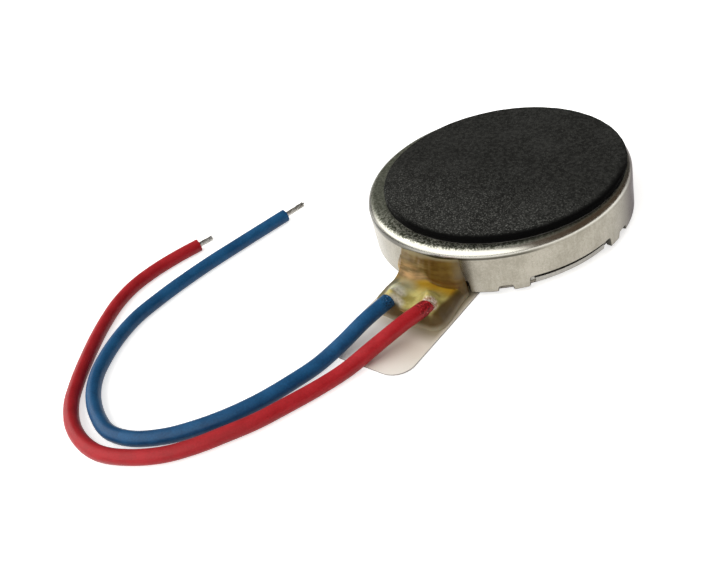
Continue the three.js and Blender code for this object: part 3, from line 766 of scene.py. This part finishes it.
MATERIALS = {
    "nickel_steel": can_steel(),
    "bracket_steel": metal("bracket_steel", (0.38, 0.37, 0.34), (0.27, 0.26, 0.24), 0.35),
    "shaft_steel": metal("shaft_steel", (0.72, 0.73, 0.74), (0.58, 0.58, 0.59), 0.12, relief=0.001),
    "magnet_plating": metal("magnet_plating", (0.36, 0.37, 0.39), (0.24, 0.25, 0.27), 0.32),
    "tungsten": metal("tungsten", (0.26, 0.27, 0.28), (0.15, 0.16, 0.17), 0.5, 0.05, relief=0.01),
    "gold_contact": metal("gold_contact", (0.85, 0.60, 0.22), (0.66, 0.44, 0.15), 0.22),
    "copper": metal("copper", (0.62, 0.30, 0.14), (0.42, 0.18, 0.09), 0.3),
    "coil_copper": metal("coil_copper", (0.55, 0.22, 0.08), (0.30, 0.10, 0.04), 0.35, 0.06),
    "brush_metal": metal("brush_metal", (0.78, 0.66, 0.38), (0.60, 0.50, 0.28), 0.22),
    "solder": metal("solder", (0.68, 0.69, 0.71), (0.45, 0.46, 0.48), 0.28, relief=0.008),
    "tinned_copper": metal("tinned_copper", (0.70, 0.69, 0.66), (0.44, 0.43, 0.41), 0.34, 0.07),
    "polyimide": plastic("polyimide", (0.42, 0.20, 0.035), (0.28, 0.12, 0.02), 0.3, Coat_Weight=0.4),
    "circuit_board": plastic("circuit_board", (0.04, 0.17, 0.06), (0.02, 0.10, 0.035), 0.45),
    "resin": plastic("resin", (0.028, 0.028, 0.030), (0.014, 0.014, 0.015), 0.5, relief=0.01),
    "bush_plastic": plastic("bush_plastic", (0.80, 0.76, 0.68), (0.68, 0.64, 0.56), 0.4),
    "washer_film": plastic("washer_film", (0.70, 0.66, 0.54), (0.58, 0.54, 0.43), 0.45),
    "foam": foam_skin(),
    "foam_adhesive": plastic("foam_adhesive", (0.10, 0.10, 0.09), (0.05, 0.05, 0.045), 0.6),
    "adhesive_film": plastic("adhesive_film", (0.70, 0.66, 0.58), (0.56, 0.52, 0.45), 0.55),
    "liner_film": liner_film(),
    "amber_glue": glue("amber_glue"),
    "clear_glue": glue("clear_glue"),
    "red_insulation": insulation("red_insulation", (0.45, 0.016, 0.024), (0.32, 0.009, 0.014), RED_CUT),
    "blue_insulation": insulation("blue_insulation", (0.012, 0.098, 0.24), (0.006, 0.056, 0.150), BLUE_CUT),
}


def dress_nodes():
    """Every CAD node that stays gets its slot's material."""
    for part in frame["record"]["subparts"]:
        node = frame["nodes"][part["node"]]
        for holder in node.material_slots:
            holder.link = "OBJECT"
            holder.material = MATERIALS[part["material_slot"]]


# ---- The leads ----

LEAD_RADIUS = 0.275
CORE_RADIUS = 0.11
MIDDLE_RADIUS = 0.07  # the tinned middle of the core
STRAND_RADIUS = 0.03
STRANDS = 8
STEP = 0.16  # between the rings of a lead
LEAD_SIDES = 24
CUT_PROFILE = ((0.262, 0.0), (0.235, 0.02), (0.17, 0.012), (0.125, -0.03))  # radius and depth
TWIST_PITCH = 1.5  # of the strands
TWIST_STEPS = 24

# The centre lines of the insulation, from the cut on the tab to the cut at the far end. They are the CAD
# source's points, which a scratch script took from a curve fitted to the photographed leads.
RED_ROUTE = [
    (1.02, -6.55, 0.835), (0.71, -7.64, 0.8), (0.31, -8.69, 0.58), (-0.1, -9.78, 0.34),
    (-0.51, -10.82, 0.285), (-0.97, -11.86, 0.285), (-1.47, -12.9, 0.285), (-2.08, -13.84, 0.285),
    (-2.73, -14.74, 0.285), (-3.53, -15.53, 0.285), (-4.52, -16.12, 0.285), (-5.61, -16.47, 0.285),
    (-6.7, -16.42, 0.285), (-7.77, -16.06, 0.285), (-8.7, -15.42, 0.285), (-9.42, -14.62, 0.285),
    (-10.09, -13.73, 0.285), (-10.72, -12.79, 0.285), (-11.29, -11.8, 0.285), (-11.76, -10.76, 0.285),
    (-11.99, -9.68, 0.285), (-11.92, -8.55, 0.285), (-11.66, -7.46, 0.285), (-11.3, -6.43, 0.285),
]
BLUE_ROUTE = [
    (-0.46, -6.8, 0.835), (-0.67, -7.89, 0.76), (-0.93, -8.98, 0.51), (-1.24, -10.07, 0.31),
    (-1.6, -11.17, 0.285), (-2.01, -12.21, 0.285), (-2.56, -13.2, 0.285), (-3.22, -14.09, 0.285),
    (-4.01, -14.88, 0.285), (-5.01, -15.48, 0.285), (-6.09, -15.67, 0.285), (-7.17, -15.37, 0.285),
    (-8.15, -14.82, 0.285), (-8.92, -14.08, 0.285), (-9.5, -13.14, 0.285), (-9.92, -12.1, 0.285),
    (-10.15, -11.01, 0.285), (-10.13, -9.88, 0.285), (-10.02, -8.79, 0.285), (-9.86, -7.71, 0.285),
    (-9.64, -6.62, 0.285), (-9.38, -5.49, 0.285), (-9.12, -4.41, 0.285), (-8.86, -3.32, 0.285),
]


def cut_end(centre, across, outwards, seed):
    """Rings over a cut end of insulation, from its skin in to its core."""

    def torn(radius, depth):
        def size(angle):
            return radius + 0.012 * ripple((math.cos(angle), math.sin(angle), radius), 0.5, seed)

        return round_ring(centre + outwards * depth, across, size, LEAD_SIDES)

    return [torn(radius, depth) for radius, depth in CUT_PROFILE]


def make_lead(colour, route, joint, tip_length, seed):
    """One lead: the bare core from its solder joint, the insulation, and the tinned middle of its tip."""
    insulated = smooth_line(route, STEP)
    start, end = insulated[0], insulated[-1]
    inwards = (start - insulated[1]).normalized()
    onwards = (end - insulated[-2]).normalized()
    core = smooth_line([joint, mix(joint, start, 0.55) + Vector((0, 0, 0.03)), start], STEP)[:-1]
    tip = [end + onwards * tip_length * share for share in (0.25, 0.5, 0.75, 1)]
    line = [*core, *insulated, *tip]
    across = frames(line)
    run = distances(line)
    first, last = len(core), len(core) + len(insulated) - 1

    def bare(i, radius):
        return round_ring(line[i], across[i], radius, LEAD_SIDES)

    def insulation_ring(i):
        def size(angle):
            return LEAD_RADIUS + 0.006 * ripple((run[i], math.cos(angle), math.sin(angle)), 1.3, seed)

        return round_ring(line[i], across[i], size, LEAD_SIDES)

    core_rings = [[core[0]], *(bare(i, CORE_RADIUS) for i in range(first))]
    skin_rings = [
        *reversed(cut_end(start, across[first], inwards, seed)),
        *(insulation_ring(i) for i in range(first, last + 1)),
        *cut_end(end, across[last], onwards, seed + 5),
    ]
    tip_rings = [*(bare(i, MIDDLE_RADIUS) for i in range(last + 1, len(line))), [line[-1] + onwards * 0.02]]
    shell = Shell()
    paints = [1] * len(core_rings) + [0] * (len(skin_rings) - 1) + [1] * len(tip_rings)
    shell.loft([*core_rings, *skin_rings, *tip_rings], paints)
    slot = f"{colour}_insulation"
    lead = shell.make(f"lead_{colour}_wire", [MATERIALS[slot], MATERIALS["tinned_copper"]], 50)
    install(lead, "motor", slot, f"lead_{colour}", f"lead_core_{colour}")
    strands = make_tip(colour, end, onwards, tip_length, seed)


def make_tip(colour, start, along, length, seed):
    """Tinned strands twisted round the core's middle."""
    side = along.cross(Vector((0, 0, 1))).normalized()
    up = side.cross(along)
    shell = Shell()
    for k in range(STRANDS):
        reach = length * (1 + 0.05 * math.sin(2.3 * k + seed))
        line = []
        for i in range(TWIST_STEPS + 1):
            share = i / TWIST_STEPS
            angle = 2 * math.pi * (k / STRANDS + share * length / TWIST_PITCH)
            orbit = (CORE_RADIUS - STRAND_RADIUS) * (1 + 0.15 * share * (k % 2))
            offset = (side * math.cos(angle) + up * math.sin(angle)) * orbit
            line.append(start + along * (share * (reach + 0.05) - 0.05) + offset)
        across = frames(line)
        rings = [round_ring(p, a, STRAND_RADIUS * 1.04, 10) for p, a in zip(line, across)]
        shell.loft([[line[0]], *rings, [line[-1] + along * 0.015]])
    tip = shell.make(f"lead_{colour}_strands", [MATERIALS["tinned_copper"]])
    return install(tip, "motor", "tinned_copper", f"lead_tip_{colour}")


def make_leads():
    for colour, route, tip_length, seed in (("red", RED_ROUTE, 0.65, 3), ("blue", BLUE_ROUTE, 0.98, 11)):
        low, high = corners(f"lead_solder_{colour}")
        joint = Vector(((low.x + high.x) / 2, (low.y + high.y) / 2 + 0.05, low.z + 0.14))
        make_lead(colour, route, joint, tip_length, seed)


# ---- The can ----


def rim_openings():
    """(centre, half angle, height) of each opening in the can's rim, in order round it."""
    openings = [(-90, *EXIT)]
    openings.extend((ear, *RECESS) for ear in EARS)
    openings.extend((notch, *NOTCH) for notch in NOTCHES)
    turned = [((centre - RIM_START) % 360 + RIM_START, half, height) for centre, half, height in openings]
    return sorted(turned)


def rim_line():
    """The rim unrolled, as (distance round the can, height) points once round."""
    degree = math.radians(CAN_RADIUS)
    line = []
    for centre, half, height in rim_openings():
        start, end = (centre - half) * degree, (centre + half) * degree
        line.append(Vector((start - RIM_DRAFT, CAN_RIM)))
        line.append(Vector((start + RIM_DRAFT, CAN_RIM + height)))
        line.append(Vector((end - RIM_DRAFT, CAN_RIM + height)))
        line.append(Vector((end + RIM_DRAFT, CAN_RIM)))
    return line


def fine_rim():
    """The rim's points with rounded corners, and the direction out of the steel at each."""
    once = 2 * math.pi * CAN_RADIUS
    line = rim_line()
    line = [line[-1] - Vector((once, 0)), *line, line[0] + Vector((once, 0))]
    smooth = rounded(line, RIM_CORNER)[1:-1]
    smooth = [point for point in smooth if line[1].x - 1 < point.x < line[1].x - 1 + once]
    closed = [*smooth, smooth[0] + Vector((once, 0))]
    made = []
    for start, end in zip(closed, closed[1:]):
        count = max(1, math.ceil((end - start).length / RIM_STEP))
        made.extend(mix(start, end, i / count) for i in range(count))
    normals = []
    for i in range(len(made)):
        after = made[(i + 1) % len(made)] + Vector((once if i + 1 == len(made) else 0, 0))
        before = made[i - 1] - Vector((once if i == 0 else 0, 0))
        along = after - before
        normals.append(Vector((along.y, -along.x)).normalized())
    return made, normals


def make_can():
    """The drawn can as one skin: over the top, down the outside, round the rim and up the inside."""
    line, normals = fine_rim()
    inner = CAN_RADIUS - SHEET
    ceiling = CAN_TOP - SHEET

    def on_wall(radius, inset):
        ring = []
        for point, normal in zip(line, normals):
            place = point - normal * inset
            ring.append(around(radius, place.x / CAN_RADIUS, place.y))
        return ring

    def level(radius, height):
        return [around(radius, point.x / CAN_RADIUS, height) for point in line]

    def wall(radius, count):
        """Rings from the wall's top down to just above the rim."""
        top, low = level(radius, SEAM), on_wall(radius, 2 * RIM_EDGE)
        return [[mix(a, b, i / count) for a, b in zip(top, low)] for i in range(count + 1)]

    def bend(radius, start, end, count):
        """Rings round the shoulder, between two angles above the horizontal."""
        made = []
        for i in range(count + 1):
            lean = math.radians(mix(start, end, i / count))
            reach = CAN_RADIUS - SHOULDER + radius * math.cos(lean)
            made.append(level(reach, SEAM + radius * math.sin(lean)))
        return made

    def edge(radius, sign):
        """Rings round one sheared edge, from the wall to the rim's face."""
        made = []
        for lean in (0, 45, 90):
            inwards, back = rounding(RIM_EDGE, lean)
            made.append(on_wall(radius - sign * inwards, back))
        return made

    rings = [[Vector((0, 0, CAN_TOP))]]
    rings += [level(radius, CAN_TOP) for radius in (1.5, 3.0, 4.2, CAN_RADIUS - SHOULDER - 0.05)]
    rings += bend(SHOULDER, 90, 0, 14)
    rings += wall(CAN_RADIUS, 8)[1:]
    first_shaded_ring = len(rings)
    rings += edge(CAN_RADIUS, 1)
    rings += reversed(edge(inner, -1))
    last_shaded_ring = len(rings) - 1
    rings += reversed(wall(inner, 4)[1:])
    rings += bend(SHOULDER - SHEET, 0, 90, 6)
    rings += [level(radius, ceiling) for radius in (4.0, 2.0, SEAT_RADIUS)]
    rings += [level(SEAT_RADIUS, ceiling + SEAT_DEPTH), [Vector((0, 0, ceiling + SEAT_DEPTH))]]
    # painted shade: the rings round the rim's rounded edges take the dark edge material
    paints = [1 if first_shaded_ring <= i < last_shaded_ring else 0 for i in range(len(rings) - 1)]
    shell = Shell()
    shell.loft(rings, paints)
    can = shell.make("can_shell", [MATERIALS["nickel_steel"], shaded_rim_edge()])
    install(can, "motor", "nickel_steel", "case_can")


# ---- The bracket ----

DISC_RADIUS = 4.72
EAR_RADIUS = 4.88
EAR_HALF = 17  # degrees
TONGUE_HALF = 1.2  # half the width of the tongue that carries the tab
TONGUE_CORNER = 0.45
PRESSED_EDGE = 0.02
BOSS_RADIUS = 0.58  # the raised boss that holds the shaft
BORE_RADIUS = 0.37


def bracket_outline(front):
    """A disc with an ear in each recess of the can and a tongue whose front is at y."""
    side = math.degrees(math.asin(TONGUE_HALF / DISC_RADIUS))
    outline = []
    angle = side - 90
    for ear in sorted((ear + 90) % 360 - 90 for ear in EARS):
        outline += arc((0, 0), DISC_RADIUS, angle, ear - EAR_HALF, 1.0)
        outline += arc((0, 0), EAR_RADIUS, ear - EAR_HALF, ear + EAR_HALF, 1.0)
        angle = ear + EAR_HALF
    outline += arc((0, 0), DISC_RADIUS, angle, 270 - side, 1.0)
    corner = Vector((TONGUE_HALF - TONGUE_CORNER, front + TONGUE_CORNER))
    outline += arc((-corner.x, corner.y), TONGUE_CORNER, 180, 270, 8.0)
    outline += arc(corner, TONGUE_CORNER, 270, 360, 8.0)
    return divided(rounded(outline, 0.05), 0.15)


def make_bracket():
    low, high = corners("bracket_plate")
    rings = plate(bracket_outline(low.y), low.z, low.z + SHEET, PRESSED_EDGE, 5, BOSS_RADIUS)
    boss = [point.to_2d() for point in rings[0]]
    bore = [point * BORE_RADIUS / BOSS_RADIUS for point in boss]
    shell = Shell()
    up_the_bore = [at_height(bore, low.z), at_height(bore, high.z), at_height(boss, high.z)]
    shell.loft([*up_the_bore, *rings[:-1], up_the_bore[0]])
    made = shell.make("bracket_sheet", [MATERIALS["bracket_steel"]], welded=True)
    install(made, "motor", "bracket_steel", "bracket_plate")


# ---- The foam pad ----

FOAM_EDGE = 0.05  # how much its upper edge is rounded
FOAM_SIDES = 420
FACE_RINGS = 100


def make_foam():
    """The pad, with a softly uneven face and a ragged cut side."""
    low, high = corners("foam_pad")
    centre = Vector(((low.x + high.x) / 2, (low.y + high.y) / 2))
    radius = (high.x - low.x) / 2
    thickness = high.z - low.z

    def ring(reach, height, cut=0.0, pits=0.0):
        made = []
        for i in range(FOAM_SIDES):
            angle = 2 * math.pi * i / FOAM_SIDES
            turned = (math.cos(angle), math.sin(angle))
            ragged = cut * ripple((turned[0] * radius, turned[1] * radius, height * 3), 0.35, 7)
            x, y = (centre[k] + turned[k] * (reach + ragged) for k in (0, 1))
            swell = 0.010 * ripple((x, y, 0), 1.6, 2) + 0.007 * ripple((x, y, 0), 0.16, 4)
            made.append(Vector((x, y, height + pits * swell)))
        return made

    rings = [[Vector((*centre, high.z))]]
    for i in range(1, FACE_RINGS + 1):
        rings.append(ring((radius - FOAM_EDGE) * i / FACE_RINGS, high.z, 0.0, 1.0))
    for lean in (65, 40, 15):
        inwards, drop = rounding(FOAM_EDGE, lean)
        rings.append(ring(radius - inwards, high.z - drop, 0.012, 0.6))
    for share in (0.45, 0.7, 0.9, 1.0):
        rings.append(ring(radius - 0.02 * math.sin(share * math.pi), high.z - thickness * share, 0.016))
    rings += [ring(radius * share, low.z) for share in (0.8, 0.4)]
    rings.append([Vector((*centre, low.z))])
    shell = Shell()
    shell.loft(rings)
    foam = shell.make("foam_disc", [MATERIALS["foam"]], 60)
    install(foam, "motor", "foam", "foam_pad")


# ---- The release liner ----

PULL_HALF = 1.72  # half the width of its pull tab
PULL_CORNER = 0.8
FILM_EDGE = 0.012  # how much its edges are rounded
PULL_LIFT = 0.04  # how far the pull tab's end curls up


def make_liner():
    """The film: a disc with a pull tab that lifts and waves a little. Its cut edge has its own material."""
    low, high = corners("release_liner")
    outline = divided(disc_with_tongue(high.y, PULL_HALF, -low.y, PULL_CORNER), 0.1)
    rings = plate(outline, low.z, high.z, FILM_EDGE, 40)
    for point in (point for ring in rings for point in ring):
        wave = 0.02 * ripple((point.x, point.y, 0), 1.5, 5) + 0.02 * math.sin(point.x * 1.3 + 0.7)
        point.z += ease(-point.y, 5.6, 9.3) * (PULL_LIFT + wave)
    side = len(rings) // 2 - 1
    paints = [1 if abs(i - side) <= 2 else 0 for i in range(len(rings) - 1)]
    shell = Shell()
    shell.loft(rings, paints)
    liner = shell.make("liner_sheet", [MATERIALS["liner_film"], liner_edge()], 60)
    install(liner, "motor", "liner_film", "release_liner")


# ---- The glue ----

TAB_TOP = corners("flex_circuit")[1].z
TAB_HALF = 1.25
WALL_GLUE_GRID = (90, 50)  # columns and rows
POOL_GRID = (110, 110)
WALL_GLUE_LEFT = (-109, -102)  # degrees, at its foot and at its top
WALL_GLUE_RIGHT = (-72.5, -74)


def make_skin(name, front, back, slot, node):
    """A closed piece between two grids of points."""
    shell = Shell()
    fronts = [shell.ring(row) for row in front]
    backs = [shell.ring(row) for row in back]
    for one, other in zip(fronts, fronts[1:]):
        shell.bridge(one, other, closed=False)
    for one, other in zip(backs, backs[1:]):
        shell.bridge(other, one, closed=False)
    for k in (0, -1):
        shell.bridge(fronts[k], backs[k], closed=False)
        shell.bridge([row[k] for row in fronts], [row[k] for row in backs], closed=False)
    made = shell.make(name, [MATERIALS[slot]], 60)
    return install(made, "motor", slot, node)


def foot_bulge(x, height):
    """How far the wall's glue swells out towards its foot, most on the red lead's side."""
    up = min(1.0, max(0.0, (height - 0.6) / 0.8))
    return FOOT_BULGE * ease(x, -0.5, 1.0) * (1 - up) ** 1.6


def make_wall_glue():
    """A thin skin up the can's wall, feathered at its top and sides and thicker at its foot."""
    low, high = corners("wall_glue")
    columns, rows = WALL_GLUE_GRID
    outer, inner = [], []
    for j in range(rows + 1):
        rise = j / rows
        left = mix(*WALL_GLUE_LEFT, ease(rise, 0.2, 1.0)) + 0.5 * math.sin(5 * rise + 1)
        right = mix(*WALL_GLUE_RIGHT, rise) + 0.3 * math.sin(6 * rise)
        row_out, row_in = [], []
        for i in range(columns + 1):
            u = 2 * i / columns - 1
            angle = math.radians(mix(left, right, i / columns))
            height = mix(low.z, high.z + 0.03 * math.sin(3 + 4 * u), rise)
            feather = (1 - abs(u) ** 5) ** 0.7 * (1 - rise ** 10) ** 0.6
            lumps = 1 + 0.35 * ripple((5 * u, 0, height * 0.5), 0.6, 9)
            bulge = foot_bulge(CAN_RADIUS * math.cos(angle), height)
            blunt = (1 - abs(u) ** 16) ** 0.7
            radius = CAN_RADIUS + 0.008 + feather * WALL_SKIN * lumps + blunt * bulge
            row_out.append(around(radius, angle, height))
            row_in.append(around(CAN_RADIUS + 0.004, angle, height))
        outer.append(row_out)
        inner.append(row_in)
    make_skin("wall_glue_skin", outer, inner, "amber_glue", "wall_glue")


POOL_FRONT = -6.90
POOL_CORNER = 0.45  # radius of its two front corners
POOL_DEPTH = 0.085  # over the tab, between its mounds
POOL_MOUNDS = (  # height, centre and reach of each
    (0.44, (1.00, -6.36), (0.42, 0.40)),
    (0.36, (0.74, -6.02), (0.50, 0.42)),
    (0.44, (-0.50, -6.56), (0.42, 0.42)),
    (0.28, (-0.60, -6.05), (0.50, 0.50)),
    (0.14, (0.95, -6.72), (0.50, 0.30)),
)


def pool_height(x, y):
    """The top of the glue on the tab: a thin pool, with mounds over the joints and the leads' ends."""
    mounds = [height * hump(x, y, centre, reach) for height, centre, reach in POOL_MOUNDS]
    return TAB_TOP + POOL_DEPTH + 0.02 * ripple((x, y, 0), 0.7, 13) + sum(mounds)


def pool_width(y, side):
    """How far the pool's foot is from the middle, short of its front corners."""
    return mix(1.50, 1.64, ease(-y, 5.0, 6.4)) if side > 0 else 1.34


def pool_reach(y, side):
    """How far the pool's foot spreads sideways, with the round corners."""
    ahead = max(0.0, POOL_FRONT + POOL_CORNER - y)
    return pool_width(y, side) - POOL_CORNER + math.sqrt(max(0.0, POOL_CORNER ** 2 - ahead ** 2))


def pool_inset(x, y):
    """How far inside its foot a place on the pool is."""
    across = abs(x) - pool_width(y, x) + POOL_CORNER
    ahead = POOL_FRONT + POOL_CORNER - y
    return POOL_CORNER - math.hypot(max(across, 0), max(ahead, 0)) - min(0, max(across, ahead))


def pool_point(u, v, low):
    """A point of the pool's skin: u runs across it from -1 to 1 and v from the can's wall to its front."""
    guess = mix(-CAN_RADIUS, POOL_FRONT, v)
    x = u * pool_reach(guess, u)
    wall = CAN_RADIUS + 0.9 * (WALL_SKIN + foot_bulge(x, 0.65))
    start = -math.sqrt(wall * wall - x * x)
    y = mix(start, POOL_FRONT, v)
    hollow = mix(0.07, 0.72, ease(-x, -0.4, 0.6))
    away = max(0.0, hollow - (start - y))
    fillet = hollow - math.sqrt(max(0.0, hollow ** 2 - away ** 2))
    slope = mix(0.20, 0.34, ease(x, -0.5, 0.8) * ease(y, -6.7, -6.3))
    share = min(1.0, max(0.0, pool_inset(x, y) / slope))
    swell = 1 - (1 - share) ** 2.2
    wander = 0.05 * ripple((x, 0, 0), 0.6, 21) * ease(v, 0.6, 1.0)
    return Vector((x, y + wander, mix(low, pool_height(x, y) + fillet, swell)))


def make_joint_glue():
    """The pool on the tab, with rounded sides that run down to the liner."""
    low = corners("joint_glue")[0].z
    tab_front = corners("flex_circuit")[0].y
    columns, rows = POOL_GRID

    def under(point):
        """The point below one of the pool's skin: on the tab where there is one."""
        above_tab = abs(point.x) < TAB_HALF and point.y > tab_front
        height = TAB_TOP + 0.01 if above_tab else low - 0.005
        return Vector((point.x, point.y, min(point.z - 0.005, height)))

    tops = []
    for i in range(columns + 1):
        u = math.sin(math.pi * (i / columns - 0.5))
        shares = [(1 - math.cos(math.pi * j / rows)) / 2 for j in range(rows + 1)]
        tops.append([pool_point(u, v, low) for v in shares])
    bottoms = [[under(point) for point in line] for line in tops]
    make_skin("joint_glue_pool", tops, bottoms, "clear_glue", "joint_glue")


# ---- The stage ----

FLOOR_REACH = 900.0
OVERHEAD_PLACE = (60, 65, 200)  # azimuth, elevation and distance
OVERHEAD_SIZE = 200
OVERHEAD_POWER = 0.10  # watts
SOFTBOX_AZIMUTH = -118  # degrees: the way to the middle of the softbox
SOFTBOX_GLOW = (2.20, 2.17, 2.09)
ROOM_LEFT = (0.17, 0.17, 0.155)
ROOM_RIGHT = (0.10, 0.070, 0.048)
WHITE = (1, 1, 1)


def make_floor():
    """A white floor that glows a little, and is darker to the light that bounces off it."""
    low = CAD_BOUNDS[0].z / MM
    shell = Shell()
    shell.loft([[Vector((0, 0, low))], at_height(arc((0, 0), FLOOR_REACH, 0, 356), low)])
    paint = Paint("floor", Roughness=0.9, Specular_IOR_Level=0.1, Emission_Color=WHITE)
    bounced = paint.node("ShaderNodeLightPath", {}).outputs["Is Diffuse Ray"]
    paint.feed("Emission Strength", paint.maths("MULTIPLY_ADD", bounced, -0.5, 0.6))
    tone = paint.blend(paint.noise(40.0, 2.0), (0.88, 0.88, 0.88), (0.90, 0.90, 0.90))
    paint.feed("Base Color", paint.blend(bounced, tone, (0.42, 0.42, 0.42)))
    shell.make("floor", [paint.material])


def towards(azimuth, elevation, distance):
    """A point at a distance from the motor. Angles in degrees, from +X towards +Y and up."""
    a, e = math.radians(azimuth), math.radians(elevation)
    return Vector((math.cos(a) * math.cos(e), math.sin(a) * math.cos(e), math.sin(e))) * distance


def make_overhead():
    """A soft panel that shines down on the motor and shows in no reflection."""
    data = bpy.data.lights.new("overhead", "AREA")
    data.size = OVERHEAD_SIZE * MM
    data.energy = OVERHEAD_POWER
    light = bpy.data.objects.new("overhead", data)
    place = towards(*OVERHEAD_PLACE)
    aim = (-place).to_track_quat("-Z", "Y").to_matrix().to_4x4()
    light.matrix_world = Matrix.Translation(place * MM) @ aim
    light.visible_glossy = False
    bpy.context.scene.collection.objects.link(light)


def make_sky():
    """A dim studio with one wide softbox in front of the motor. The camera itself sees plain white."""
    world = bpy.data.worlds.new("studio")
    world.use_nodes = True
    sky = Nodes(world.node_tree)
    where = sky.node("ShaderNodeTexCoord", {}).outputs["Generated"]

    def along(direction):
        inputs = {0: where, 1: tuple(direction)}
        return sky.node("ShaderNodeVectorMath", inputs, operation="DOT_PRODUCT").outputs["Value"]

    ahead = sky.spread(along(towards(SOFTBOX_AZIMUTH, 0, 1)), 0.08, 0.34)
    above = sky.spread(along((0, 0, 1)), 0.08, 0.22)
    room = sky.blend(sky.spread(along((1, 0, 0)), 0.0, 0.5), ROOM_LEFT, ROOM_RIGHT)
    lit = sky.blend(sky.product(ahead, above), room, SOFTBOX_GLOW)
    seen = sky.node("ShaderNodeLightPath", {}).outputs["Is Camera Ray"]
    sky.set(sky.tree.nodes["Background"].inputs["Color"], sky.blend(seen, lit, WHITE))
    bpy.context.scene.world = world


make_camera()
make_leads()
dress_nodes()
make_can()
make_bracket()
make_foam()
make_liner()
make_wall_glue()
make_joint_glue()
make_floor()
make_overhead()
make_sky()
bpy.context.scene.view_settings.view_transform = "Standard"
